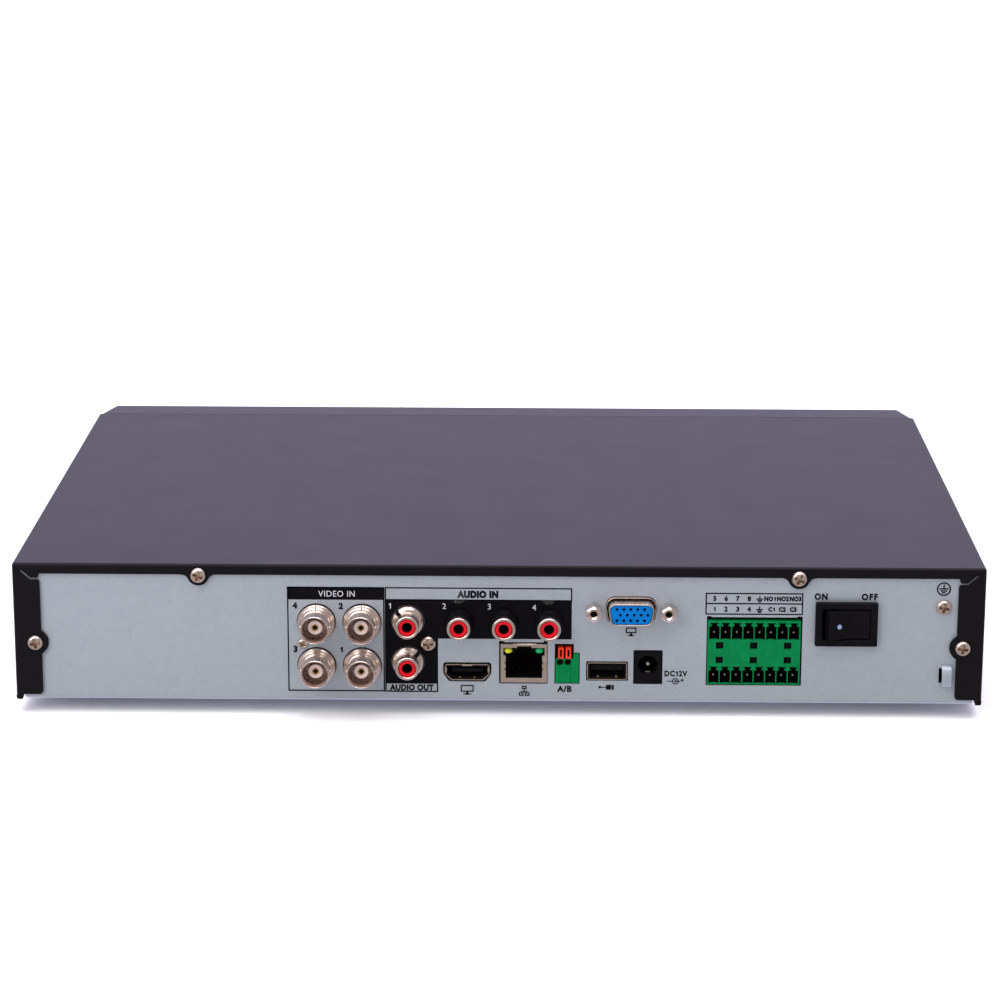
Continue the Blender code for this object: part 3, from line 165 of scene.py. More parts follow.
def scaled(outline, factor):
    """Outline scaled about the middle of its box."""
    xs, zs = [x for x, _ in outline], [z for _, z in outline]
    x, z = (min(xs) + max(xs)) / 2, (min(zs) + max(zs)) / 2
    return [(x + (px - x) * factor, z + (pz - z) * factor) for px, pz in outline]


# ---- mesh building, in millimetres

def move(bm, by):
    """Shift a solid."""
    bmesh.ops.translate(bm, vec=by, verts=bm.verts)
    return bm


def pose(bm, matrix):
    """Transform a solid."""
    bmesh.ops.transform(bm, matrix=matrix, verts=bm.verts)
    return bm


def spun(bm, angle, axis):
    """Turn a solid about an axis of the frame."""
    bmesh.ops.rotate(bm, cent=(0, 0, 0), matrix=Matrix.Rotation(angle, 3, axis), verts=bm.verts)
    return bm


def from_mesh(mesh):
    """Solid from a mesh, which is removed."""
    bm = bmesh.new()
    bm.from_mesh(mesh)
    bpy.data.meshes.remove(mesh)
    return bm


def new_item(name, data):
    """Object in the scene."""
    item = bpy.data.objects.new(name, data)
    bpy.context.scene.collection.objects.link(item)
    return item


def evaluated(item):
    """Solid of an object with its modifiers applied."""
    bpy.context.view_layer.update()
    depsgraph = bpy.context.evaluated_depsgraph_get()
    return from_mesh(bpy.data.meshes.new_from_object(item.evaluated_get(depsgraph)))


def curve_bmesh(curve, turn):
    """Evaluate a curve, turn it and weld it into a closed solid."""
    guide = new_item("guide", curve)
    bm = pose(evaluated(guide), turn)
    bpy.data.objects.remove(guide, do_unlink=True)
    bpy.data.curves.remove(curve)
    bmesh.ops.remove_doubles(bm, verts=bm.verts, dist=WELD)
    bmesh.ops.recalc_face_normals(bm, faces=bm.faces)
    return bm


TURNS = {
    "Y": Matrix.Rotation(math.pi / 2, 4, "X"),
    "X": Matrix.Rotation(math.pi / 2, 4, "Z") @ Matrix.Rotation(math.pi / 2, 4, "X"),
    "Z": Matrix.Identity(4),
}
STEPS = {"X": Vector((1, 0, 0)), "Y": Vector((0, 1, 0)), "Z": Vector((0, 0, 1))}


def plate(outlines, start, end, edge=0.0, axis="Y", rounds=1):
    """Solid from outlines (the first outside, the rest holes) between two levels, its edges rounded."""
    curve = bpy.data.curves.new("plate", "CURVE")
    curve.dimensions = "2D"
    curve.fill_mode = "BOTH"
    curve.extrude = abs(end - start) / 2 - edge
    curve.bevel_depth = edge
    curve.bevel_resolution = rounds
    curve.offset = -edge
    for outline in outlines:
        spline = curve.splines.new("POLY")
        spline.points.add(len(outline) - 1)
        for point, (across, up) in zip(spline.points, outline):
            point.co = (across, up, 0.0, 1.0)
        spline.use_cyclic_u = True
    return move(curve_bmesh(curve, TURNS[axis]), STEPS[axis] * (start + end) / 2)


def block(low, high, edge=0.0, segments=2):
    """Box between two corners with rounded edges."""
    low, high = Vector(low), Vector(high)
    bm = bmesh.new()
    matrix = Matrix.Translation((low + high) / 2) @ Matrix.Diagonal((*(high - low), 1.0))
    bmesh.ops.create_cube(bm, size=1.0, matrix=matrix)
    if edge:
        bmesh.ops.bevel(bm, geom=bm.edges[:], offset=edge, segments=segments, profile=0.5, affect="EDGES")
    return bm


def lathe(profile, x, z, count=FINE, axis="Y", y=0.0):
    """Turned solid: profile of (radius, height), height outwards along -y, or up with axis Z."""
    bm = bmesh.new()
    ring_shaped = profile[0] == profile[-1]
    rings = []
    for radius, height in profile[:-1] if ring_shaped else profile:
        around = circle(0.0, 0.0, radius, count) if radius > 1e-6 else [(0.0, 0.0)]
        rings.append([bm.verts.new((across, up, height)) for across, up in around])
    if ring_shaped:
        rings.append(rings[0])
    for upper, lower in zip(rings, rings[1:]):
        for i in range(count):
            j = (i + 1) % count
            if len(upper) == 1 and len(lower) > 1:
                bm.faces.new((upper[0], lower[i], lower[j]))
            elif len(lower) == 1 and len(upper) > 1:
                bm.faces.new((upper[i], lower[0], upper[j]))
            elif len(upper) > 1:
                bm.faces.new((upper[i], lower[i], lower[j], upper[j]))
    bmesh.ops.recalc_face_normals(bm, faces=bm.faces)
    if axis == "Y":
        pose(bm, TURNS["Y"])
    return move(bm, (x, y, z))


def rod(radius, start, end, count=24):
    """Cylinder between two points."""
    start, end = Vector(start), Vector(end)
    turn = (end - start).to_track_quat("Z", "Y").to_matrix().to_4x4()
    bm = bmesh.new()
    bmesh.ops.create_cone(bm, cap_ends=True, segments=count, radius1=radius, radius2=radius,
                          depth=(end - start).length, matrix=Matrix.Translation((start + end) / 2) @ turn)
    return bm


def merge(*solids):
    """Put several solids in one bmesh."""
    result = bmesh.new()
    for solid in solids:
        mesh = bpy.data.meshes.new("part")
        solid.to_mesh(mesh)
        result.from_mesh(mesh)
        solid.free()
        bpy.data.meshes.remove(mesh)
    return result


def carve(solid, tool, operation="DIFFERENCE"):
    """Boolean of two solids, applied."""
    items = []
    for bm in (solid, tool):
        mesh = bpy.data.meshes.new("carve")
        bm.to_mesh(mesh)
        bm.free()
        items.append(new_item("carve", mesh))
    modifier = items[0].modifiers.new("Carve", "BOOLEAN")
    modifier.operation = operation
    modifier.solver = "EXACT"
    modifier.use_self = True
    modifier.object = items[1]
    result = evaluated(items[0])
    for item in items:
        mesh = item.data
        bpy.data.objects.remove(item, do_unlink=True)
        bpy.data.meshes.remove(mesh)
    return result


def join(solid, other):
    """Union of two solids."""
    return carve(solid, other, "UNION")


def piece(name, bm, material, body=BODY, nodes=(), smooth=35.0):
    """Make a visible piece from a solid in the case frame, on a CAD body."""
    bmesh.ops.scale(bm, vec=(MM, MM, MM), verts=bm.verts)
    move(bm, ORIGIN * MM)
    mesh = bpy.data.meshes.new(name)
    bm.to_mesh(mesh)
    bm.free()
    mesh.shade_smooth()
    mesh.set_sharp_from_angle(angle=math.radians(smooth))
    mesh.materials.append(material)
    item = new_item(name, mesh)
    normals = item.modifiers.new("Normals", "WEIGHTED_NORMAL")
    normals.mode = "FACE_AREA"
    normals.keep_sharp = True
    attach(item, body)
    if nodes:
        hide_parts(*nodes)


# ---- materials

def srgb(red, green, blue):
    """Linear colour from 0-255 display values."""
    def linear(value):
        value /= 255
        return value / 12.92 if value <= 0.04045 else ((value + 0.055) / 1.055) ** 2.4
    return (linear(red), linear(green), linear(blue), 1.0)


class Look:
    """A procedural material being built: a Principled shader and object-space noise that feeds it."""

    def __init__(self, name, roughness=0.5, metallic=0.0, specular=0.5):
        self.material = bpy.data.materials.new(name)
        self.material.use_nodes = True
        self.tree = self.material.node_tree
        self.shader = self.tree.nodes["Principled BSDF"]
        self.shader.inputs["Roughness"].default_value = roughness
        self.shader.inputs["Metallic"].default_value = metallic
        self.shader.inputs["Specular IOR Level"].default_value = specular
        self.place = self.tree.nodes.new("ShaderNodeTexCoord").outputs["Object"]

    def node(self, kind, **values):
        """Node with its input values; an underscore in a name stands for a space."""
        node = self.tree.nodes.new(kind)
        for key, value in values.items():
            node.inputs[key.replace("_", " ")].default_value = value
        return node

    def link(self, output, target):
        """Feed a socket."""
        self.tree.links.new(output, target)

    def feed(self, node, output, where=None):
        """Give a texture its coordinates and return one of its outputs."""
        self.link(where or self.place, node.inputs["Vector"])
        return node.outputs[output]

    def stretched(self, scale):
        """Object coordinates scaled on each axis."""
        return self.feed(self.node("ShaderNodeMapping", Scale=scale), "Vector")

    def noise(self, scale, detail=3.0, where=None):
        """Noise; scale is cells in a metre."""
        return self.feed(self.node("ShaderNodeTexNoise", Scale=scale, Detail=detail), "Fac", where)

    def ramp(self, fac, stops):
        """Colour ramp from two (position, colour) stops."""
        ramp = self.node("ShaderNodeValToRGB")
        for element, (position, colour) in zip(ramp.color_ramp.elements, stops):
            element.position = position
            element.color = colour
        self.link(fac, ramp.inputs["Fac"])
        return ramp.outputs["Color"]

    def colour(self, fac, dark, light, low=0.35, high=0.65):
        """Base colour that varies with a noise."""
        self.link(self.ramp(fac, [(low, dark), (high, light)]), self.shader.inputs["Base Color"])

    def gloss(self, fac, low, high):
        """Roughness that varies with a noise."""
        spread = self.node("ShaderNodeMapRange", To_Min=low, To_Max=high)
        self.link(fac, spread.inputs["Value"])
        self.link(spread.outputs["Result"], self.shader.inputs["Roughness"])

    def bump(self, fac, depth, strength=1.0):
        """Fine relief, its depth in metres."""
        bump = self.node("ShaderNodeBump", Distance=depth, Strength=strength)
        self.link(fac, bump.inputs["Height"])
        self.link(bump.outputs["Normal"], self.shader.inputs["Normal"])


def shaded(colour, factor):
    """Colour made darker or lighter, never past white."""
    return tuple(min(1.0, c * factor) for c in colour[:3]) + (1.0,)


def varied(name, colour, spread, roughness, metallic=0.0, depth=0.00001, specular=0.5):
    """Plain material with a slight mottle, uneven gloss and fine relief."""
    look = Look(name, metallic=metallic, specular=specular)
    look.colour(look.noise(MOTTLE), shaded(colour, 1 - spread), shaded(colour, 1 + spread))
    look.gloss(look.noise(MOTTLE / 3), *roughness)
    look.bump(look.noise(MOTTLE * 6, 2.0), depth)
    return look.material


MOTTLE = 400.0
PAINT_SPECULAR = 0.13
PAINT_DARK, PAINT_LIGHT = srgb(9, 8, 11), srgb(15, 13, 18)
GALVANISED_DARK, GALVANISED_LIGHT = srgb(150, 158, 168), srgb(167, 174, 182)


def make_paint():
    """Fine-grained charcoal powder coat."""
    look = Look("cover_paint", specular=PAINT_SPECULAR)
    look.colour(look.noise(2600.0, 2.0), PAINT_DARK, PAINT_LIGHT, 0.3, 0.7)
    look.gloss(look.noise(60.0), 0.44, 0.49)
    look.bump(look.noise(3600.0, 2.0), 0.00006, 0.5)
    return look.material


def make_galvanised():
    """Galvanised sheet with a soft spangle and a fine grain."""
    look = Look("galvanised_steel", metallic=0.45)
    cells = look.node("ShaderNodeTexVoronoi", Scale=420.0)
    grain = look.node("ShaderNodeMix", Factor=0.82)
    look.link(look.feed(cells, "Color"), grain.inputs["A"])
    look.link(look.noise(1400.0, 4.0), grain.inputs["B"])
    look.colour(grain.outputs["Result"], GALVANISED_DARK, GALVANISED_LIGHT, 0.2, 0.8)
    look.gloss(look.noise(120.0), 0.40, 0.50)
    look.bump(look.noise(2600.0, 3.0), 0.00002, 0.3)
    return look.material


def make_nickel(name, colour, roughness):
    """Nickel plate with fine turning marks and faint blotches."""
    look = Look(name, metallic=1.0)
    look.colour(look.noise(400.0), shaded(colour, 0.9), colour)
    look.gloss(look.noise(700.0, 3.0), roughness * 0.85, roughness * 1.2)
    look.bump(look.noise(1500.0, 2.0), 0.000002, 0.1)
    return look.material


def make_board():
    """Circuit board: green solder mask with copper tracks under it."""
    look = Look("circuit_board")
    bricks = look.node("ShaderNodeTexBrick", Scale=260.0, Mortar_Size=0.03, Color1=srgb(20, 84, 52),
                       Color2=srgb(24, 96, 60), Mortar=srgb(60, 132, 84))
    look.link(look.feed(bricks, "Color"), look.shader.inputs["Base Color"])
    look.gloss(look.noise(200.0), 0.28, 0.42)
    look.bump(bricks.outputs["Fac"], 0.00003, 0.5)
    return look.material


def make_clear(name, colour, alpha, roughness):
    """Clear film."""
    look = Look(name)
    look.colour(look.noise(300.0), shaded(colour, 0.95), colour)
    look.gloss(look.noise(200.0), roughness, roughness * 1.5)
    look.shader.inputs["Alpha"].default_value = alpha
    return look.material


def make_brushed(name, colour, roughness):
    """Metal with a fine one-way grain."""
    look = Look(name, metallic=1.0)
    grain = look.noise(60.0, 6.0, look.stretched((1.0, 40.0, 40.0)))
    look.colour(grain, shaded(colour, 0.85), colour)
    look.gloss(grain, roughness * 0.8, roughness * 1.3)
    look.bump(grain, 0.00001, 0.3)
    return look.material


# Finish: display colour, spread of the mottle, roughness range, relief in metres, specular level.
PLAIN = {
    "bezel_plastic": ((22, 20, 26), 0.06, (0.38, 0.44), 0.000004, 0.1),
    "smoked_window": ((20, 12, 14), 0.1, (0.05, 0.08), 0.0, 0.5),
    "foot_rubber": ((26, 26, 27), 0.2, (0.75, 0.9), 0.00004, 0.5),
    "black_plastic": ((12, 11, 15), 0.15, (0.38, 0.5), 0.00001, 0.07),
    "green_plastic": ((0, 108, 58), 0.08, (0.38, 0.48), 0.00001, 0.05),
    "orange_plastic": ((210, 44, 22), 0.08, (0.35, 0.45), 0.00001, 0.15),
    "red_plastic": ((192, 10, 27), 0.06, (0.3, 0.4), 0.00001, 0.12),
    "blue_plastic": ((0, 96, 166), 0.06, (0.4, 0.5), 0.00001, 0.05),
    "cable_sleeve": ((150, 32, 28), 0.1, (0.45, 0.6), 0.00001, 0.5),
    "print_black": ((11, 10, 14), 0.1, (0.42, 0.52), 0.000004, 0.05),
    "print_white": ((188, 190, 196), 0.03, (0.5, 0.6), 0.000004, 0.5),
    "dielectric_plastic": ((206, 186, 178), 0.06, (0.4, 0.5), 0.000006, 0.5),
    "lamp_green": ((0, 150, 84), 0.15, (0.12, 0.2), 0.0, 0.5),
    "lamp_amber": ((190, 188, 40), 0.15, (0.12, 0.2), 0.0, 0.5),
    "rocker_mark": ((120, 140, 172), 0.04, (0.4, 0.5), 0.000004, 0.5),
}
LOOKS = {
    "cover_paint": make_paint(),
    "galvanised_steel": make_galvanised(),
    "nickel_plate": make_nickel("nickel_plate", srgb(222, 206, 198), 0.27),
    "screw_steel": make_nickel("screw_steel", srgb(226, 206, 194), 0.30),
    "contact_brass": make_nickel("contact_brass", srgb(222, 176, 106), 0.25),
    "circuit_board": make_board(),
    "cast_aluminium": varied("cast_aluminium", srgb(176, 177, 180), 0.1, (0.4, 0.55), 1.0, 0.00003),
    "stamped_steel": make_brushed("stamped_steel", srgb(196, 196, 198), 0.3),
    "disk_mirror": make_brushed("disk_mirror", srgb(222, 223, 226), 0.06),
    "clear_film": make_clear("clear_film", srgb(196, 202, 196), 0.025, 0.35),
}
for finish, (display, mottle, sheen, relief, level) in PLAIN.items():
    LOOKS[finish] = varied(finish, srgb(*display), mottle, sheen, depth=relief, specular=level)


def add(name, bm, slot, nodes=(), body=BODY, smooth=35.0):
    """Visible piece in one of the finishes in LOOKS."""
    piece(name, bm, LOOKS[slot], body, nodes, smooth)


# ---- print

PRINT = 0.05
PRINT_Y = -0.02
PRINT_LINE = 0.45


def text_bmesh(text, spacing=1.0, bold=0.03):
    """Flat words one unit high, before they are sized."""
    curve = bpy.data.curves.new("words", "FONT")
    curve.body = text
    curve.align_x = "CENTER"
    curve.align_y = "CENTER"
    curve.space_character = spacing
    curve.offset = bold
    curve.resolution_u = 3
    curve.extrude = 0.02
    return curve_bmesh(curve, Matrix.Identity(4))


def span(bm, axis):
    """Lowest and highest coordinate of a solid on an axis."""
    values = [vert.co[axis] for vert in bm.verts]
    return min(values), max(values)


CAP_LOW, CAP_HIGH = span(text_bmesh("H", bold=0.0), 1)


def words(text, height, spacing, bold, width):
    """Printed words centred at x = 0, with capitals of a given height about z = 0."""
    bm = text_bmesh(text, spacing, bold)
    size = height / (CAP_HIGH - CAP_LOW)
    left, right = span(bm, 0)
    low, high = span(bm, 2)
    move(bm, Vector((-(left + right) / 2, -(CAP_LOW + CAP_HIGH) / 2, -(low + high) / 2)))
    bmesh.ops.scale(bm, vec=(size * width, size, PRINT / (high - low)), verts=bm.verts)
    return move(pose(bm, TURNS["Y"]), (0.0, PRINT_Y, 0.0))


def ink(*outlines):
    """Printed area: the first outline outside, the others left bare."""
    return plate(outlines, PRINT_Y - PRINT / 2, PRINT_Y + PRINT / 2)


def stroke(x0, z0, x1, z1, width):
    """Printed line between two points."""
    start, end = Vector((x0, z0)), Vector((x1, z1))
    side = (end - start).orthogonal().normalized() * width / 2
    along = (end - start).normalized() * width / 2
    corners = [start - along - side, end + along - side, end + along + side, start - along + side]
    return ink([tuple(corner) for corner in corners])


def frame_lines(x0, z0, x1, z1, width=PRINT_LINE):
    """Printed rectangle."""
    return ink(rectangle(x0, z0, x1, z1), rectangle(x0 + width, z0 + width, x1 - width, z1 - width))


def flagged_one(height, bold):
    """Printed figure one with a flag, its stem at x = 0."""
    stem = height * (0.17 + 2 * bold)
    half, top, side = stem / 2, height / 2, height * 0.3
    points = [(half, -top), (half, top), (-half * 0.4, top), (-side, top - side * 0.75),
              (-side, top - side * 0.75 - stem), (-half, top - stem * 1.1), (-half, -top)]
    return ink(points)


def label(text, x, z, height, spacing=1.05, bold=0.028, width=1.0):
    """Printed words centred at (x, z), whose figure one has a flag."""
    solids = []
    for part, run in enumerate(text.split("1")):
        if part:
            solids.append(flagged_one(height, bold))
        if run:
            solids.append(words(run, height, spacing, bold, width))
    spans = [span(solid, 0) for solid in solids]
    gap = height * 0.17
    left = x - (sum(high - low for low, high in spans) + gap * (len(spans) - 1)) / 2
    for solid, (low, high) in zip(solids, spans):
        move(solid, (left - low, 0.0, z))
        left += high - low + gap
    return merge(*solids)


# ---- sheet metal

COVER_SHEET = 0.8
COVER_BEND = 0.95
TRAY_SHEET = 1.0
TRAY_BEND = 1.5
TRAY_HALF = 159.7
PANEL_HALF = 161.2
HOOK_PLACES = (-120.0, -40.0, 40.0, 120.0)
BRIDGE_LEFT, BRIDGE_RIGHT = 148.7, 151.9
BRIDGE_LOW, BRIDGE_HIGH = 6.4, 14.2
BRIDGE_REACH = 3.0
SCREW_HOLE = 1.8
TOP_LOBE_RADIUS = 3.6
SIDE_LOBE_RADIUS = 4.4
TOP_LOBE_FILLET = 2.8
SIDE_LOBE_FILLET = 0.8
TOP_FLANGE_EDGE = 44.4
SIDE_FLANGE_INNER = 153.4
SIDE_FLANGE_FOOT = 2.0
TONGUE_EDGE = 42.9
MITRE_GAP = 0.75
MITRE_CORNERS = ((156.3, 42.9), (159.4, 45.6))
HEM_INNER = 160.1
HEM_TOP = 2.4
VENT_COUNT = 12
VENT_PITCH = 6.0
VENT_FIRST = 74.0
VENT_WIDTH = 2.4
VENT_LOW, VENT_HIGH = 18.0, 36.0
LOW_WALL = 12.0
CABLE_HOLE = (-60.0, 20.0, 4.5)
BOARD_BOSSES = [(x, y) for x in (-82.0, 100.0) for y in (30.0, 90.0)]
DRIVE_BOSSES = [(x, y) for x in (-10.0, 114.0) for y in (112.0, 195.0)]


def bend(bm, radius, chosen, segments=6):
    """Round the edges that a test on their two ends chooses."""
    edges = [edge for edge in bm.edges if chosen(edge.verts[0].co, edge.verts[1].co)]
    bmesh.ops.bevel(bm, geom=edges, offset=radius, segments=segments, profile=0.5, affect="EDGES")
    return bm


def lobe(height, radius, fillet):
    """Bump of a screw lobe on a straight edge v = 0, along u, reaching towards +v."""
    reach = math.sqrt((radius + fillet) ** 2 - (fillet - height) ** 2)
    lean = math.degrees(math.atan2(fillet - height, reach))
    left = arc(-reach, fillet, fillet, -90.0, -lean, 6)
    crown = arc(0.0, height, radius, 180.0 - lean, lean, 24)
    right = arc(reach, fillet, fillet, 180.0 + lean, 270.0, 6)
    return left + crown[1:-1] + right


def cover_opening():
    """Opening that the cover's rear flanges leave round the connector panel."""
    clear = HEM_INNER + 0.3
    side_x, side_z = spot("cover_screw_side_right")
    top_x, top_z = spot("cover_screw_top_right")
    points = [(clear, -10.0), (clear, SIDE_FLANGE_FOOT)]
    points += arc(SIDE_FLANGE_INNER + 1.2, SIDE_FLANGE_FOOT + 1.2, 1.2, 270, 180, 6)
    bump = lobe(SIDE_FLANGE_INNER - side_x, SIDE_LOBE_RADIUS, SIDE_LOBE_FILLET)
    points += [(SIDE_FLANGE_INNER - v, side_z + u) for u, v in bump]
    points += arc(SIDE_FLANGE_INNER + 0.8, TONGUE_EDGE - MITRE_GAP - 0.8, 0.8, 180, 90, 5)
    (knee_x, knee_z), (end_x, end_z) = MITRE_CORNERS
    across = MITRE_GAP * math.sin(math.pi / 4)
    points += [(knee_x + across / 2, knee_z - MITRE_GAP), (end_x + across, end_z - across)]
    points += [(end_x, end_z), (knee_x, knee_z)]
    points += arc(SIDE_FLANGE_INNER + 1.0, TONGUE_EDGE + 0.7, 0.7, 270, 180, 4)
    points += arc(SIDE_FLANGE_INNER - 0.3, TOP_FLANGE_EDGE - 0.6, 0.6, 0, 90, 4)
    bump = lobe(TOP_FLANGE_EDGE - top_z, TOP_LOBE_RADIUS, TOP_LOBE_FILLET)
    points += [(top_x - u, TOP_FLANGE_EDGE - v) for u, v in bump]
    return mirrored(points)


def make_cover():
    """Folded cover: rounded bends, rear flanges with screw lobes, rolled hems and side vents."""
    low, high = extent("top_cover")

    def is_bend(first, second):
        """Tell whether an edge is a fold of the cover."""
        on_top = min(first.z, second.z) > high.z - 2.0
        behind = max(first.y, second.y) < low.y + 2.0
        along = abs(first.x - second.x) < 1.0
        return (on_top and (along or behind)) or (behind and along)

    shell = bend(block(low, high), COVER_BEND, is_bend)
    sheet = COVER_SHEET
    inner = block((low.x + sheet, low.y + sheet, low.z - 10),
                  (high.x - sheet, high.y + 10, high.z - sheet))
    shell = carve(shell, bend(inner, 0.3, is_bend, 3))
    shell = carve(shell, plate([cover_opening()], low.y - 2.0, low.y + 2.0))
    hem = rounded(rectangle(HEM_INNER, low.z, high.x, HEM_TOP), 1.0)
    for side in (1, -1):
        outline = [(side * x, z) for x, z in hem]
        shell = join(shell, plate([outline], low.y + 0.1, high.y - 0.3))
    holes = [circle(*spot(name), SCREW_HOLE) for name in COVER_SCREWS]
    shell = carve(shell, plate(holes, low.y - 2, low.y + 2))
    places = [VENT_FIRST + VENT_PITCH * i for i in range(VENT_COUNT)]
    half = VENT_WIDTH / 2
    vents = [slot_outline(y - half, VENT_LOW, y + half, VENT_HIGH) for y in places]
    for side in (1, -1):
        x = side * high.x
        shell = carve(shell, plate(vents, x - 3, x + 3, axis="X"))
    add("cover_shell", shell, "cover_paint", ("top_cover",), smooth=30.0)


def make_tray():
    """Folded chassis: floor, low walls, bosses, and the rear panel with every connector's opening."""
    high = extent("chassis_tray")[1]
    half, wide, top, front, sheet = TRAY_HALF, PANEL_HALF, high.z, high.y, TRAY_SHEET
    shell = block((-half, 0.0, 0.0), (half, front, top))
    shell = bend(shell, TRAY_BEND, lambda a, b: max(a.z, b.z) < 1.0, 5)
    inner = block((-half + sheet, sheet, sheet), (half - sheet, front - sheet, top + 10))
    inner = bend(inner, TRAY_BEND - sheet, lambda a, b: max(a.z, b.z) < sheet + 0.5, 3)
    shell = carve(shell, inner)
    over, inset = top + 5, 10.0
    walls = [(inset, over), (inset, LOW_WALL), (front - inset, LOW_WALL), (front - inset, over)]
    walls = rounded(walls, [0, 3, 3, 0], 6)
    shell = carve(shell, plate([walls], -half - 5, half + 5, axis="X"))
    panel = [(-wide, 3.4), (-half + 0.6, 1.2), (half - 0.6, 1.2), (wide, 3.4), (wide, top), (-wide, top)]
    shell = join(shell, plate([rounded(panel, 0.6)], 0.0, sheet, 0.08))
    shell = carve(shell, merge(*[plate([hole], -5.0, 5.0) for hole in panel_openings()]))
    shell = join(shell, make_bosses())
    shell = carve(shell, plate([circle(*CABLE_HOLE)], front - 5, front + 5))
    hooks = [rounded(rectangle(x - 5.6, 44.2, x + 5.6, over), [1, 1, 0, 0]) for x in HOOK_PLACES]
    shell = carve(shell, plate(hooks, front - 5, front + 5))
    shell = join(shell, make_bridge())
    add("chassis_panel_and_floor", shell, "galvanised_steel", ("chassis_tray",), smooth=30.0)


def outline_of(node, margin):
    """Rear outline of a CAD node, grown by a margin."""
    return grown(*extent(node), margin)


def d_outline(x, z, width, height, inset, rise, radius):
    """Outline with upright sides down to a knee and then slanted in to a narrower foot."""
    half, top, foot = width / 2, z + height / 2, z - height / 2
    knee = top - rise
    points = [(x + half - inset, foot), (x + half, knee), (x + half, top)]
    points += [(x - half, top), (x - half, knee), (x - half + inset, foot)]
    return rounded(points, radius, 6)


def monitor_outline(margin, radius=2.3):
    """Outline of the monitor socket's shell, grown by a margin."""
    x, z = spot("monitor_shell")
    corner = max(radius + margin, 0.4)
    foot, brow, half = 6.75 + margin, 7.95 + margin, 3.8 + margin
    points = [(x + foot, z - half), (x + brow, z + half), (x - brow, z + half), (x - foot, z - half)]
    return rounded(points, corner, 8)


def video_outline(margin, radius=0.9):
    """Outline of the digital video socket's shell, grown by a margin."""
    low, high = extent("video_socket_shell")
    x, z = (low.x + high.x) / 2, (low.z + high.z) / 2
    width, height = high.x - low.x + 2 * margin, high.z - low.z + 2 * margin
    return d_outline(x, z, width, height, 2.0, 3.4 + margin, max(radius + margin, 0.2))


def stepped(left, right, low, high, step, inset, drop):
    """Rectangle with small notches rising at its two upper corners."""
    return [(left, low), (right, low), (right, high), (right - step, high), (right - step, high - drop),
            (left + inset, high - drop), (left + inset, high), (left, high)]


def panel_openings():
    """Outlines of every opening in the rear panel."""
    low, high = extent("network_shield")
    network = stepped(low.x - 0.5, high.x + 0.2, low.z - 0.4, high.z + 1.0, 1.3, 1.6, 0.5)
    low, high = extent("alarm_terminal")
    alarm = stepped(low.x - 0.3, high.x + 0.5, low.z - 0.3, high.z + 1.1, 1.7, 1.5, 0.35)
    low, high = extent("serial_terminal")
    step_x, step_z = SERIAL_STEP
    serial = [(low.x - 0.3, low.z - 0.3), (high.x + 0.3, low.z - 0.3), (high.x + 0.3, step_z)]
    serial += [(step_x, step_z), (step_x, high.z + 0.3), (low.x - 0.2, high.z + 0.3)]
    openings = [network, alarm, serial, centred(*spot("switch_housing"), 9.9, 6.8)]
    openings += [rounded(outline_of("usb_shell", 0.35), 0.3), rounded(outline_of("power_jack", 0.3), 0.2)]
    openings += [video_outline(0.6, 0.4), monitor_outline(1.2)]
    openings += [circle(*spot(name), 6.6) for name in COAX_JACKS]
    openings += [circle(*spot(name), 5.5) for name in FLANGED_JACKS]
    openings += [circle(*spot(name), 5.0) for name in ROW_JACKS]
    openings += [circle(*spot(name), SCREW_HOLE) for name in COVER_SCREWS + OTHER_SCREWS]
    openings.append(circle(*spot("block_screw_coax"), 1.2))
    openings.append(rectangle(BRIDGE_LEFT - 0.8, BRIDGE_LOW + 1.3, BRIDGE_RIGHT + 0.3, BRIDGE_HIGH - 1.3))
    return openings


def make_bosses():
    """Formed bosses for the boards and the drive, each with a flat crown."""
    solids = []
    for places, height, radius, edge in ((BOARD_BOSSES, 4.4, 3.0, 0.3), (DRIVE_BOSSES, 3.7, 4.0, 0.4)):
        profile = [(0, height), (radius - edge, height), (radius, height - edge), (radius, 0.5), (0, 0.5)]
        solids += [lathe(profile, x, 0.0, 32, "Z", y) for x, y in places]
    return merge(*solids)


def bow(half, reach):
    """(y, z) points of a bowed strip's face, from its lower to its upper end."""
    middle, steps = (BRIDGE_LOW + BRIDGE_HIGH) / 2, 24
    turns = [math.pi * step / steps for step in range(steps + 1)]
    return [(0.5 - (reach + 0.5) * abs(math.sin(turn)) ** 0.6, middle - half * math.cos(turn))
            for turn in turns]


def make_bridge():
    """Cable-tie bridge lanced out of the panel, with soft bends."""
    half = (BRIDGE_HIGH - BRIDGE_LOW) / 2
    outline = bow(half, BRIDGE_REACH) + bow(half - 1.0, BRIDGE_REACH - 0.9)[::-1]
    return plate([outline], BRIDGE_LEFT, BRIDGE_RIGHT, 0.1, "X")


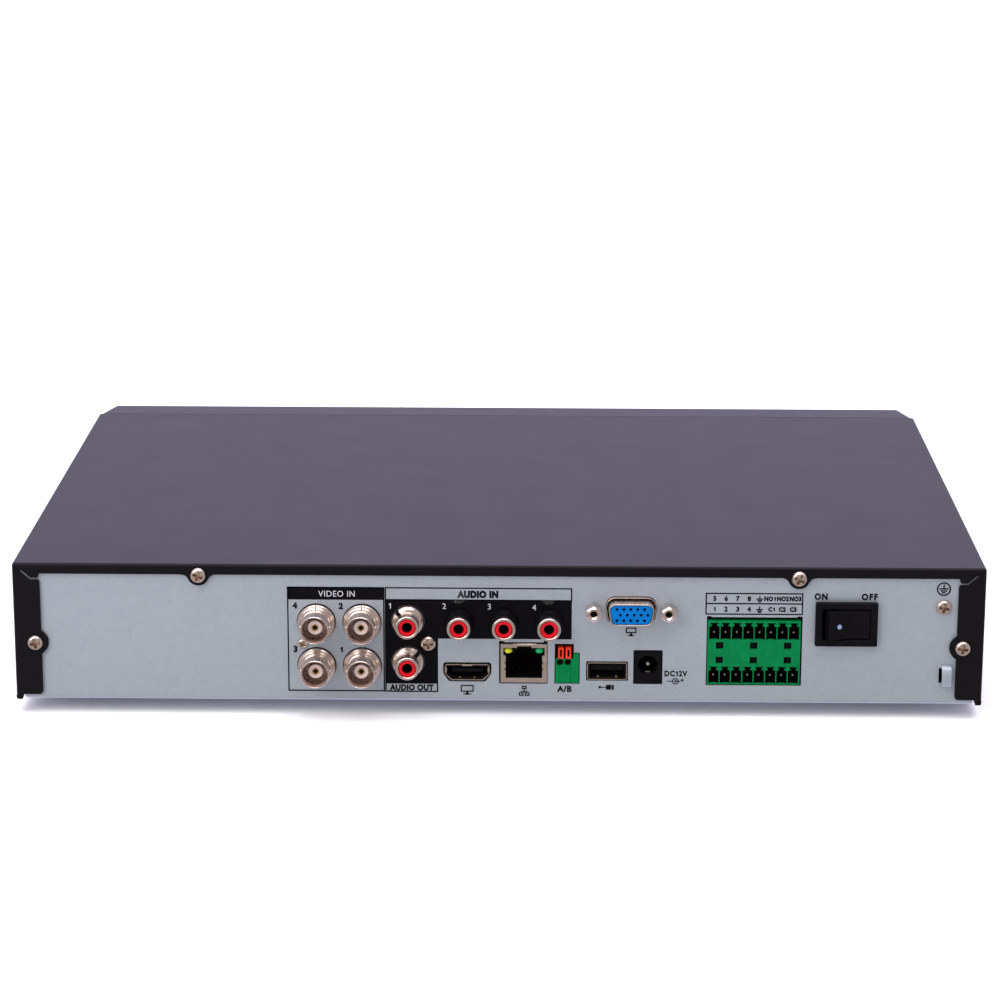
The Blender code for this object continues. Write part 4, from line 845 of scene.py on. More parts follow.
def make_print():
    """Screen print on the rear panel: frames, headers, words, digits and symbols."""
    # video block
    black = [frame_lines(-70.7, 3.4, -38.1, 40.1), ink(rectangle(-70.5, 35.6, -38.2, 40.0))]
    white = [raised(label("VIDEO IN", -54.1, 37.7, 2.0, 1.1, 0.0, 0.92))]
    for text, x, z in (("4", -68.1, 33.5), ("2", -52.7, 33.4), ("3", -68.1, 18.2), ("1", -52.6, 18.1)):
        black.append(label(text, x, z, 1.9, bold=0.06))
    # audio block
    holes = [circle(*spot(name), 4.94) for name in ROW_JACKS]
    holes += [circle(*spot(name), 5.55) for name in FLANGED_JACKS]
    holes.append(circle(*spot("block_screw_audio"), 1.9))
    left, step, right = -38.0, -20.2, 24.6
    ground = [(left, 6.5), (step, 6.5), (step, 22.2), (right, 22.2), (right, 35.7), (left, 35.7)]
    black.append(ink(ground, *holes))
    black += [frame_lines(left, 35.5, 24.7, 40.1), frame_lines(left, 3.3, step, 6.7)]
    black.append(label("AUDIO IN", -6.9, 37.75, 2.1, 1.1, 0.075, 0.9))
    black.append(label("AUDIO OUT", -29.1, 4.9, 1.85, 1.08, 0.06, 0.9))
    for text, x, z in (("1", -36.3, 33.6), ("2", -18.1, 33.6), ("3", -3.0, 33.5), ("4", 12.0, 33.3)):
        white.append(raised(label(text, x, z, 1.9, bold=0.0)))
    # single labels
    black.append(label("A/B", 22.3, 4.7, 1.9, 1.15, 0.05))
    black.append(label("DC12V", 59.75, 10.4, 1.75, 1.15, 0.045, 0.9))
    black.append(label("ON", 107.7, 37.7, 2.0, 1.2, 0.055, 0.88))
    black.append(label("OFF", 123.9, 37.7, 2.0, 1.25, 0.055, 0.9))
    black += network_symbol(8.8, 3.9) + screen_symbol(-10.4, 4.4, 4.4) + screen_symbol(44.5, 25.2, 3.6)
    black += port_symbol(36.6, 5.4) + polarity_symbol(59.6, 7.7) + earth_symbol(148.5, 40.6)
    black += alarm_labels()
    add("panel_print_black", merge(*black), "print_black")
    add("panel_print_white", merge(*white), "print_white")


def raised(bm):
    """Move print up onto the print below it."""
    return move(bm, (0.0, -PRINT * 0.6, 0.0))


def network_symbol(x, z):
    """Three boxes joined by lines."""
    solids = [frame_lines(x - 0.8, z + 0.6, x + 0.8, z + 1.85, 0.4)]
    for side in (-1.0, 1.0):
        solids.append(frame_lines(x + side - 0.82, z - 1.75, x + side + 0.82, z - 0.5, 0.4))
    return solids + [stroke(x - 1.0, z - 0.2, x + 1.0, z - 0.2, 0.36), stroke(x, z - 0.2, x, z + 0.5, 0.36)]


def screen_symbol(x, z, width):
    """Screen on a stand."""
    half, height = width / 2, width * 0.56
    outer = rounded(rectangle(x - half, z - height / 2 + 0.3, x + half, z + height / 2 + 0.3), 0.35)
    inner = rectangle(x - half + 0.42, z - height / 2 + 0.72, x + half - 0.42, z + height / 2 - 0.12)
    foot = z - height / 2 - 0.45
    stand = [stroke(x, foot, x, foot + 0.6, 0.7), stroke(x - half / 2, foot, x + half / 2, foot, 0.4)]
    return [ink(outer, inner)] + stand


def port_symbol(x, z):
    """Small plug with its lead."""
    head = rounded(rectangle(x - 0.3, z - 0.85, x + 2.4, z + 0.85), 0.3)
    slots = [rectangle(x + 1.4, low, x + 1.75, low + 0.35) for low in (z - 0.5, z + 0.15)]
    return [ink(head, *slots), stroke(x - 2.3, z, x - 0.3, z, 0.32), ink(circle(x - 2.4, z, 0.45, 16))]


def polarity_symbol(x, z):
    """Barrel polarity: a ring and a dot between a dash and a cross."""
    solids = [ink(circle(x, z, 1.1, 24), circle(x, z, 0.75, 24)), ink(circle(x, z, 0.36, 16))]
    solids += [stroke(x - 1.6, z, x - 1.1, z, 0.3), stroke(x + 0.3, z, x + 1.6, z, 0.3)]
    solids += [stroke(x - 2.5, z, x - 2.0, z, 0.32), stroke(x + 1.9, z + 0.4, x + 2.7, z + 0.4, 0.32)]
    return solids + [stroke(x + 2.3, z, x + 2.3, z + 0.8, 0.32)]


def earth_bars(x, z, size, width):
    """Earth mark: a stem on three bars that shorten downwards."""
    solids = [stroke(x, z, x, z + 0.55 * size, width)]
    for share, half in ((0.0, 0.55), (-0.3, 0.36), (-0.58, 0.17)):
        level = z + share * size
        solids.append(stroke(x - half * size, level, x + half * size, level, width))
    return solids


def earth_symbol(x, z):
    """Earth mark in a ring."""
    return [ink(circle(x, z, 2.4), circle(x, z, 1.9))] + earth_bars(x, z + 0.1, 2.4, 0.48)


def alarm_labels():
    """Labels over the alarm terminal: two rows of way names in a frame."""
    low, high = extent("alarm_terminal")
    left, right, bottom, middle, top = low.x - 0.9, high.x + 0.5, 31.2, 35.1, 38.85
    solids = [frame_lines(left, bottom, right, top)]
    solids.append(stroke(left + 0.2, middle, right - 0.2, middle, PRINT_LINE))
    for row, names, wide_names, places in ((36.85, "5678", ("NO1", "NO2", "NO3"), (90.7, 95.0, 99.2)),
                                           (33.15, "1234", ("C1", "C2", "C3"), (91.3, 94.9, 98.5))):
        solids += [label(name, x, row, 1.5, 1.05, 0.055, 0.98) for name, x in zip(names, ALARM_COLUMNS)]
        solids += [label(name, x, row, 1.4, 1.1, 0.07, 0.88) for name, x in zip(wide_names, places)]
        solids += earth_bars(87.3, row - 0.1, 1.7, 0.4)
    return solids


def make_stickers():
    """Two clear round film dots left on the panel."""
    for index, (x, z) in enumerate(((-13.3, 36.9), (16.7, 36.7))):
        film = plate([circle(x, z, 2.4)], -0.18, -0.1, 0.02)
        add(f"film_dot_{index + 1}", film, "clear_film")


# ---- screws and feet

def cross_tool(radius, top, depth):
    """Tapered cross that cuts a Phillips recess into a head whose crown is at y = -top."""
    wings = []
    narrow = radius * 0.25
    for across, up in ((radius, narrow), (narrow, radius)):
        bm = block((-across, 0.0, -up), (across, depth + 0.5, up))
        for vert in bm.verts:
            if vert.co.y > 0.1:
                vert.co.x *= 0.55
                vert.co.z *= 0.55
        wings.append(bm)
    cone = lathe([(0.0, depth + 0.4), (radius * 0.3, depth), (radius * 0.52, -0.5), (0.0, -0.5)], 0, 0, 24)
    bmesh.ops.scale(cone, vec=(1, -1, 1), verts=cone.verts)
    bmesh.ops.reverse_faces(cone, faces=cone.faces)
    return move(join(join(*wings), cone), (0.0, -top - 0.05, 0.0))


def pan_head(x, z, seat, head=SCREW_HEAD, spin=0.0):
    """Pan-head Phillips screw seated at y = -seat, its cross turned by a number of degrees."""
    high = 1.65 * head / SCREW_HEAD
    flat, shank, foot = head * 0.62, head * 0.54, -6.0
    profile = [(0.0, seat + high)]
    profile += [(flat * t, seat + high - 0.1 * t * t) for t in (0.5, 1.0)]
    profile += [(head * (0.62 + 0.38 * math.sin(a)), seat + 0.25 + (high - 0.35) * math.cos(a))
                for a in (0.35, 0.7, 1.05, 1.35, math.pi / 2)]
    profile += [(head, seat + 0.1), (head - 0.1, seat), (shank, seat), (shank, foot + 0.4)]
    profile += [(shank * 0.7, foot), (0.0, foot)]
    bm = carve(lathe(profile, 0.0, 0.0), cross_tool(head * 0.7, seat + high, head * 0.7))
    return move(spun(bm, math.radians(spin), "Y"), (x, 0.0, z))


def make_screws():
    """Cover, ground and connector screws."""
    for name, spin in zip(COVER_SCREWS, (20, 25, -12, 8)):
        screw = pan_head(*spot(name), FLANGE_PROUD, spin=spin)
        add(name.replace("screw", "fixing"), screw, "screw_steel", (name,))
    for name, node, seat, head, spin in (("ground_fixing", "ground_screw", 0.05, SCREW_HEAD, 10),
                                         ("audio_fixing", "block_screw_audio", 0.1, SCREW_HEAD, -4),
                                         ("coax_fixing", "block_screw_coax", 0.05, 1.6, 30)):
        add(name, pan_head(*spot(node), seat, head, spin), "screw_steel", (node,))


FEET = ("foot_rear_left", "foot_rear_right", "foot_front_left", "foot_front_right")
FOOT_UNDERSIDE = ((7.0, 0.0), (6.6, 0.4), (6.1, 0.4), (5.7, 0.0), (3.6, 0.0), (3.1, 1.6), (0.0, 1.6))
RIVET = ((0.0, 1.9), (2.4, 1.9), (2.4, 1.2), (1.8, 0.8), (0.0, 0.65))


def make_feet():
    """Rubber feet with a rounded rim, a grip ring and a countersunk rivet."""
    for name in FEET:
        low, high = extent(name)
        x, y, top, base = (low.x + high.x) / 2, (low.y + high.y) / 2, high.z, low.z
        profile = [(0.0, top), (8.0, top), (8.2, top - 0.2), (8.95, base + 1.4)]
        profile += [(8.0 + 0.95 * math.cos(a), base + 0.9 - 0.9 * math.sin(a))
                    for a in (0.4, 0.8, 1.2, math.pi / 2)]
        profile += [(r, base + rise) for r, rise in FOOT_UNDERSIDE]
        add(f"{name}_pad", lathe(profile, x, 0.0, FINE, "Z", y), "foot_rubber", (name,))
        rivet = [(r, base + rise) for r, rise in RIVET]
        add(f"{name}_rivet", lathe(rivet, x, 0.0, 32, "Z", y), "screw_steel")


def bayonet_lug(x, z, side):
    """Short round lug with a softened end, on one side of a bayonet jack."""
    lug = rod(0.5, (x + side * 4.4, -6.2, z), (x + side * 5.1, -6.2, z), 24)
    rims = [edge for edge in lug.edges if len(edge.link_faces) == 2 and edge.calc_face_angle() > 1.2]
    bmesh.ops.bevel(lug, geom=rims, offset=0.15, segments=2, affect="EDGES")
    return lug


# ---- connectors

def make_coax_jacks():
    """Bayonet coaxial jacks: stepped nickel body, insulator and hollow contact, its hollow filled with
    painted shade.
    """
    painted_shade_plugs = []
    for number, node in enumerate(COAX_JACKS, 1):
        x, z = spot(node)
        reach = -extent(node)[0].y
        # bore, rolled mouth and barrel, groove and shoulder, flange
        profile = [(0.0, 0.9), (3.95, 0.9), (3.95, 5.4), (4.1, 5.8), (4.1, reach - 0.9)]
        profile += [(4.42, reach - 0.12), (4.52, reach), (4.66, reach), (4.8, reach - 0.14), (4.8, 5.3)]
        profile += [(4.62, 5.1), (4.62, 3.1), (4.9, 2.9), (5.35, 2.9), (5.5, 2.75), (5.5, 2.0), (5.7, 1.85)]
        profile += [(6.05, 1.85), (6.3, 1.6), (6.3, -1.2), (0.0, -1.2)]
        body = lathe(profile, x, z, 96)
        for side in (-1, 1):
            body = join(body, bayonet_lug(x, z, side))
        body = carve(body, block((x - 0.2, -3.4, z + 4.8), (x + 0.2, -1.2, z + 7.0)))
        add(f"coax_body_{number}", body, "nickel_plate", (node,))
        insulator = [(1.15, 1.0), (1.15, 6.15), (1.25, 6.3), (2.3, 6.3), (2.45, 6.15), (2.45, 1.6)]
        insulator += [(3.9, 1.4), (3.9, 1.0), (1.15, 1.0)]
        add(f"coax_insulator_{number}", lathe(insulator, x, z), "dielectric_plastic")
        diamond = circle(x, z, 0.98, 4)
        contact = plate([circle(x, z, 1.12, 32), diamond], -6.1, -1.2)
        add(f"coax_contact_{number}", contact, "contact_brass")
        # black plug in the contact's hollow: painted shade
        painted_shade_plugs.append(plate([scaled(diamond, 1.02)], -5.7, -1.3))
    add("coax_contact_bore_shade", merge(*painted_shade_plugs), "black_plastic")
    low, high = extent("coax_block")
    screw_x, screw_z = spot("block_screw_coax")
    hole = rod(1.0, (screw_x, low.y - 1, screw_z), (screw_x, low.y + 7, screw_z))
    add("coax_housing", carve(block(low, high, 0.6), hole), "black_plastic", ("coax_block",))


def audio_shell(x, z, reach, flanged):
    """Nickel shell of an audio jack: rolled mouth, and a stepped flange on the panel-mounted kind."""
    lip, inner, outer = 0.45, (0.0, 0.5, 1.0, math.pi / 2), (0.4, 0.8, 1.2, math.pi / 2)
    level = reach - lip
    # rolled mouth, then the outside from the mouth to the panel and the bore's back edge
    profile = [(3.4 - lip * math.cos(a), level + lip * math.sin(a)) for a in inner]
    profile += [(3.5 + lip * math.sin(a), level + lip * math.cos(a)) for a in outer]
    if flanged:
        profile += [(3.95, 3.0), (3.8, 2.8), (3.8, 2.3), (4.5, 2.1), (4.75, 1.9), (4.75, 1.35)]
        profile += [(4.95, 1.2), (5.1, 1.2), (5.25, 1.0), (5.25, -1.1), (2.95, -1.1)]
    else:
        profile += [(3.95, reach - 1.5), (3.75, reach - 1.7), (3.75, -1.1), (2.95, -1.1)]
    return lathe(profile + profile[:1], x, z, 96)


def make_audio_jacks():
    """Audio jacks: nickel shell, red insulator, and a black lining of painted shade in the bore; the row of
    three has black collars.
    """
    key_angles = dict(zip(FLANGED_JACKS, (135, 45)))
    for node in FLANGED_JACKS + ROW_JACKS:
        x, z = spot(node)
        reach = -extent(node)[0].y
        shell = audio_shell(x, z, reach, node in FLANGED_JACKS)
        if node in FLANGED_JACKS:
            angle = -math.radians(key_angles[node])
            aside = Matrix.Translation((x, 0, z)) @ Matrix.Rotation(angle, 4, "Y")
            shell = carve(shell, pose(block((3.83, -4.2, -0.65), (6.2, -0.3, 0.65)), aside))
            key = pose(block((3.7, -3.0, -0.6), (5.25, -0.35, 0.6), 0.1), aside)
            add(f"{node}_key", key, "black_plastic")
            packing = [(3.2, 1.1), (3.77, 1.1), (3.77, 0.25), (5.15, 0.25), (5.15, -0.9), (3.2, -0.9)]
            add(f"{node}_packing", lathe(packing + packing[:1], x, z), "black_plastic")
        else:
            collar = [(4.05, reach - 1.75), (4.25, reach - 1.95), (4.35, 2.2), (4.6, 1.9), (4.9, 0.4)]
            collar += [(4.9, -1.1), (3.7, -1.1), (3.7, reach - 1.75)]
            add(f"{node}_collar", lathe(collar + collar[:1], x, z), "black_plastic")
        add(f"{node}_shell", shell, "nickel_plate", (node,))
        insulator = [(1.7, -0.9), (1.7, reach - 0.85), (1.85, reach - 0.6), (2.2, reach - 0.5)]
        insulator += [(2.65, reach - 0.5), (2.92, reach - 0.8), (2.92, -0.9)]
        add(f"{node}_insulator", lathe(insulator + insulator[:1], x, z), "red_plastic")
        # black lining and floor of the insulator's hole: painted shade where the hole is dark
        bore = [(0.0, -0.9), (1.68, -0.9), (1.68, reach - 0.95), (1.45, reach - 1.0), (1.45, 0.2), (0.0, 0.2)]
        add(f"{node}_contact", lathe(bore, x, z), "black_plastic")
    for node in ("audio_stack", "audio_row"):
        add(f"{node}_housing", block(*extent(node), 0.5), "black_plastic", (node,))


def make_video_socket():
    """Digital video socket: folded shell with spring tabs, and a tongue on a stepped insulator."""
    low, high = extent("video_socket_shell")
    x = (low.x + high.x) / 2
    shell = plate([video_outline(0.0), video_outline(-0.27)], low.y, high.y, 0.04)
    shell = join(shell, plate([video_outline(-0.2)], high.y - 0.8, high.y - 0.1))
    tabs = [block((x - 1.7, low.y - 0.01, high.z - 0.62), (x + 1.7, low.y + 5.0, high.z - 0.25), 0.08)]
    outer = high.x - x
    for side in (-1, 1):
        left, right = sorted((x + side * outer, x + side * (outer - 0.62)))
        tabs.append(block((left, low.y + 0.3, low.z + 2.7), (right, low.y + 4.0, high.z - 1.3), 0.08))
    add("video_shell", join(shell, merge(*tabs)), "nickel_plate", ("video_socket_shell",))
    liner = plate([video_outline(-0.45), video_outline(-0.95, 0.6)], low.y + 0.5, high.y - 1.0)
    wall = plate([video_outline(-0.45)], high.y - 1.1, high.y - 0.9)
    add("video_insulator", merge(liner, wall), "black_plastic")
    first, last = extent("video_socket_tongue")
    tongue = block((first.x, first.y + 0.3, first.z), last, 0.2)
    add("video_tongue", tongue, "black_plastic", ("video_socket_tongue",))
    ways = [x - 4.7 + VIDEO_PITCH * i for i in range(10)]
    contacts = [block((way, first.y + 1.6, first.z - 0.05), (way + 0.5, last.y - 0.5, first.z + 0.1))
                for way in ways]
    contacts += [rod(0.26, (way, low.y + 0.5, low.z + 0.85), (way, low.y + 3.0, low.z + 0.6), 12)
                 for way in (x - 2.4, x + 2.4)]
    add("video_contacts", merge(*contacts), "contact_brass")


def lamp(x, y, z, half_x, half_y, half_z):
    """Domed lens."""
    bm = bmesh.new()
    bmesh.ops.create_uvsphere(bm, u_segments=32, v_segments=20, radius=1.0)
    bmesh.ops.scale(bm, vec=(half_x, half_y, half_z), verts=bm.verts)
    return move(bm, (x, y, z))


def make_network_socket():
    """Network socket: folded shield, stepped insert with eight contacts, and two lamps."""
    low, high = extent("network_shield")
    left, right, floor, ceiling = low.x + 1.7, high.x - 1.6, low.z + 1.7, high.z - 4.0
    lamp_low, lamp_high, brow = high.z - 4.1, high.z - 1.4, high.z - 0.85
    outer_left, outer_right = low.x + 0.9, high.x - 0.8
    # opening in the shield: spring notches up the right side, lamps and latch on top, and down the left
    window = [(left, floor), (right, floor)]
    for base in (floor + 2.7, floor + 5.0):
        window += [(right, base), (right + 0.3, base + 0.1), (right + 0.3, base + 0.6), (right, base + 0.7)]
    window += [(right, lamp_low), (outer_right, lamp_low), (outer_right, lamp_high)]
    window += [(LATCH_RIGHT, lamp_high), (LATCH_RIGHT, brow), (LATCH_LEFT, brow), (LATCH_LEFT, lamp_high)]
    window += [(outer_left, lamp_high), (outer_left, lamp_low), (left, lamp_low)]
    for base in (floor + 5.0, floor + 2.7):
        window += [(left, base + 0.7), (left - 0.3, base + 0.6), (left - 0.3, base + 0.1), (left, base)]
    shell = block(low, high, 0.25, 3)
    inner = block((low.x + 0.4, low.y + 0.4, low.z + 0.4), (high.x - 0.4, high.y + 3.0, high.z - 0.4))
    shell = carve(carve(shell, inner), plate([window], low.y - 2, low.y + 2))
    add("network_shell", shell, "nickel_plate", ("network_shield",))
    deep = extent("network_insert")[1].y
    gap = Vector((0.55, 0.55, 0.55))
    insert = block(low + gap, (high.x - gap.x, deep, high.z - gap.z), 0.1)
    # the plug's hall, the step and the groove of its latch, and a nest for each lamp
    nests = [rectangle(start, lamp_low + 0.15, start + 3.2, lamp_high - 0.1)
             for start in (low.x + 1.0, high.x - 4.2)]
    hall = rectangle(left + 0.2, floor + 0.2, right - 0.2, ceiling + 0.3)
    step = rectangle(LATCH_LEFT - 0.7, ceiling - 1, LATCH_RIGHT + 0.7, ceiling + 1.7)
    groove = rectangle(LATCH_LEFT + 0.1, ceiling, LATCH_RIGHT - 0.1, brow - 0.05)
    for outlines, depth in (([hall], 12.0), ([step], 9.0), ([groove], 7.0), (nests, 4.0)):
        insert = carve(insert, plate(outlines, low.y - 2, depth))
    add("network_housing", insert, "black_plastic", ("network_insert",))
    ways = [(left + right) / 2 + (i - 3.5) * NETWORK_PITCH for i in range(8)]
    contacts = [rod(0.18, (x, 4.6, floor + 1.2), (x, 10.5, floor + 4.4), 10) for x in ways]
    add("network_contacts", merge(*contacts), "contact_brass")
    middle = (lamp_low + lamp_high) / 2 + 0.1
    for name, x in (("amber", low.x + 2.55), ("green", high.x - 2.5)):
        add(f"network_lamp_{name}", lamp(x, low.y + 1.5, middle, 1.5, 1.3, 1.08), f"lamp_{name}")


def make_serial_terminal():
    """Spring terminal with its two release levers."""
    low, high = extent("serial_terminal")
    shoulder, step_x = 17.2, 25.1
    outline = [(low.x, low.z), (high.x, low.z), (high.x, shoulder), (step_x, shoulder)]
    outline += [(step_x, high.z), (low.x + 0.1, high.z)]
    body = plate([rounded(outline, 0.2, 3)], low.y, high.y, 0.12)
    levers = {name: extent("serial_" + name) for name in ("lever_a", "lever_b")}
    first, last = levers["lever_a"][0], levers["lever_b"][1]
    channel = block((first.x - 0.3, low.y - 3, first.z - 0.3), (last.x + 0.3, last.y + 1.8, last.z + 0.3))
    mouth = rectangle(low.x - 0.5, first.z - 0.3, step_x + 0.1, high.z + 0.5)
    body = carve(carve(body, channel), plate([mouth], low.y - 3, 2.5))
    holes = [(x, SERIAL_HOLE_LEVEL) for x in SERIAL_HOLES]
    body = carve(body, merge(*[rod(1.17, (x, low.y - 1, z), (x, 8.0, z), 32) for x, z in holes]))
    # thin seams between the ways and the end cover
    seams = merge(block((24.25, low.y - 1, low.z - 1), (24.4, low.y + 0.22, 15.4)),
                  block((low.x - 1, low.y - 1, 12.2), (24.3, low.y + 0.12, 12.3)),
                  block((24.3, low.y - 1, 12.2), (high.x + 1, low.y + 0.12, 12.3)))
    add("serial_housing", carve(body, seams), "green_plastic", ("serial_terminal",))
    slots = []
    for ride, (left, right) in levers.items():
        slot = rounded(centred((left.x + right.x) / 2, (left.z + right.z) / 2, 0.32, 1.3), 0.12)
        lever = carve(block(left, right, 0.16), plate([slot], left.y - 1, left.y + 3.0))
        add(f"release_{ride}", lever, "orange_plastic", (f"serial_{ride}",), ride)
        # black fill in the lever's slot: painted shade
        shade = plate([scaled(slot, 1.02)], left.y + 1.2, left.y + 3.1)
        add(f"release_{ride}_slot", shade, "black_plastic", (), ride)
        slots.append(grown(left, right, 0.15))
    # black floor behind the levers and a black face round them; the two wire holes are filled with painted
    # shade
    bed = block((first.x - 0.25, last.y + 1.6, first.z - 0.25), (last.x + 0.25, last.y + 1.75, last.z + 0.25))
    black_face = rectangle(low.x + 0.1, first.z - 0.25, step_x - 0.05, high.z)
    wire_hole_shade = [rod(1.16, (x, 1.4, z), (x, 7.9, z), 32) for x, z in holes]
    add("serial_channel_black_and_shade", merge(bed, plate([black_face] + slots, 0.9, 2.6), *wire_hole_shade), "black_plastic")


def make_data_socket(prefix, node, near_y, far_y):
    """Folded steel data socket: rounded shell, tongue liner, and spring tips."""
    low, high = extent(node)
    facing = 1 if far_y > near_y else -1
    outer, inner = rounded(grown(low, high, 0.0), 0.75, 5), rounded(grown(low, high, -0.27), 0.45, 5)
    rear = rounded(grown(low, high, -0.1), 0.6)
    shell = plate([outer, inner], low.y, high.y, 0.05)
    shell = join(shell, plate([rear], *sorted((far_y - facing * 0.4, far_y))))
    add(f"{prefix}_port_shell", shell, "nickel_plate", (node,))
    frame_outer = rounded(grown(low, high, -0.4), 0.4)
    frame_inner = rectangle(low.x + 0.95, low.z + 0.85, high.x - 0.95, high.z - 0.75)
    liner = plate([frame_outer, frame_inner], *sorted((near_y + facing * 0.35, far_y - facing * 0.9)))
    add(f"{prefix}_port_liner", liner, "black_plastic")
    springs = []
    for share in (0.27, 0.73):
        x = low.x + (high.x - low.x) * share
        tip, root = near_y + facing * 0.5, near_y + facing * 2.6
        springs.append(rod(0.33, (x, tip, low.z + 0.95), (x, root, low.z + 0.7), 12))
    add(f"{prefix}_port_springs", merge(*springs), "contact_brass")


def make_data_sockets():
    """Rear and front data sockets."""
    low, high = extent("usb_shell")
    make_data_socket("rear", "usb_shell", low.y, high.y)
    add("rear_port_tongue", block(*extent("usb_tongue"), 0.2), "black_plastic", ("usb_tongue",))
    low, high = extent("front_usb_socket")
    make_data_socket("front", "front_usb_socket", high.y, low.y)
    tongue = block((low.x + 1.1, low.y + 0.4, high.z - 3.0), (high.x - 1.1, high.y - 1.0, high.z - 1.2), 0.2)
    add("front_port_tongue", tongue, "black_plastic")


def make_power_jack():
    """Barrel power jack with a chamfered bore, its centre pin and its spring."""
    low, high = extent("power_jack")
    x, z = BARREL
    bore = [(0.0, 1.0), (3.35, 1.0), (3.35, -low.y), (3.15, -0.3), (3.15, -10.0), (0.0, -10.0)]
    body = carve(block(low, high, 0.2), lathe(bore, x, z))
    add("power_body", body, "black_plastic", ("power_jack",))
    pin = [(0.0, -1.3), (0.55, -1.45), (0.9, -1.9), (1.0, -2.4), (1.0, -10.2), (0.0, -10.2)]
    spring = block((x - 0.9, 1.8, z - 3.1), (x + 0.9, 9.0, z - 2.75), 0.1)
    add("power_contacts", merge(lathe(pin, x, z, 32), spring), "nickel_plate")


def make_jackscrew(side, reach):
    """Hexagonal standoff with a threaded hole, points up and down; returns a black plug of painted shade for
    the floor of its hole.
    """
    node = f"monitor_jackscrew_{side}"
    centre, level = spot(node)
    nut = plate([arc(centre, level, 2.85, 30, 330, 5)], reach + 0.2, -0.3)
    crown = [(0.0, 5.35), (1.9, 5.35), (2.95, 4.6), (2.95, 0.2), (0.0, 0.2)]
    nut = carve(nut, lathe(crown, centre, level), "INTERSECT")
    nut = join(nut, rod(1.35, (centre, -0.6, level), (centre, 7.0, level)))
    thread = [(0.0, 6.0), (1.75, 6.0), (1.75, 5.4), (1.4, 5.0)]
    for turn in range(8):
        thread += [(1.2, 4.85 - turn * 0.4), (1.4, 4.65 - turn * 0.4)]
    thread += [(1.2, 1.5), (0.0, 1.2)]
    nut = carve(nut, lathe(thread, centre, level, 40))
    add(f"monitor_standoff_{side}", nut, "nickel_plate", (node,))
    # painted shade deep in the threaded hole
    return rod(1.3, (centre, -3.6, level), (centre, -1.6, level), 24)


def make_monitor_socket():
    """Fifteen-pole monitor socket: drawn shell, blue insert with its holes, and hexagonal jackscrews."""
    low, high = extent("monitor_shell")
    x, z = spot("monitor_shell")
    reach = low.y
    brim = z + 6.2
    shell = plate([monitor_outline(0.0), monitor_outline(-0.45)], reach, 1.6, 0.18, rounds=3)
    shell = join(shell, plate([monitor_outline(0.92), monitor_outline(0.62)], -0.75, 1.5, 0.1, rounds=2))
    studs = [circle(*spot(f"monitor_jackscrew_{side}"), SCREW_HOLE) for side in ("left", "right")]
    flange = rounded(rectangle(low.x, z - 6.2, high.x, brim), 1.0)
    shell = join(shell, plate([flange, monitor_outline(-0.45)] + studs, 1.3, 2.1))
    add("monitor_socket_shell", shell, "nickel_plate", ("monitor_shell",))
    housing_low, back = extent("monitor_insert")
    front = reach + 0.35
    holes = []
    for row, shift in ((MONITOR_ROW, 0.0), (0.0, MONITOR_PITCH / 2), (-MONITOR_ROW, 0.0)):
        holes += [circle(x - 0.25 + (way - 2) * MONITOR_PITCH + shift, z + row, 0.52, 24) for way in range(5)]
    face = carve(plate([monitor_outline(-0.6)], front, 4.0, 0.12), plate(holes, front - 1.0, front + 5.0))
    rear = rounded(rectangle(low.x, housing_low.z, high.x, brim), 0.6)
    face = join(face, plate([rear] + studs, 2.4, back.y, 0.2))
    add("monitor_face", face, "blue_plastic", ("monitor_insert",))
    # black floors in the insert's holes and a black ring round the shell's foot: painted shade
    hole_shade = [plate([outline], front + 1.2, front + 4.9) for outline in holes]
    hole_shade.append(plate([monitor_outline(0.7), monitor_outline(-0.1)], -0.2, 1.1))
    hole_shade += [make_jackscrew(side, reach) for side in ("left", "right")]
    add("monitor_hole_shade", merge(*hole_shade), "black_plastic")


def alarm_pocket(x, floor, half):
    """Outline of one way of the alarm terminal: an arched floor, and a neck under a narrow bar."""
    points = [(-half, 0.0), (-half * 0.5, 0.18), (0.0, 0.24), (half * 0.5, 0.18), (half, 0.0)]
    points += [(half, 4.5), (0.9, 4.8), (0.9, 5.2), (1.3, 5.5), (1.3, 5.9)]
    points += [(-1.3, 5.9), (-1.3, 5.5), (-0.9, 5.2), (-0.9, 4.8), (-half, 4.5)]
    return [(x + across, floor + up) for across, up in points]


def square_pin(x, z):
    """Square pin with a tapered tip."""
    half, tip = 0.42, 0.24
    bm = block((x - half, 2.1, z - half), (x + half, 9.4, z + half))
    point = block((x - half, 1.6, z - half), (x + half, 2.1, z + half))
    for vert in point.verts:
        if vert.co.y < 1.8:
            vert.co.x = x + (vert.co.x - x) * tip / half
            vert.co.z = z + (vert.co.z - z) * tip / half
    return join(bm, point)


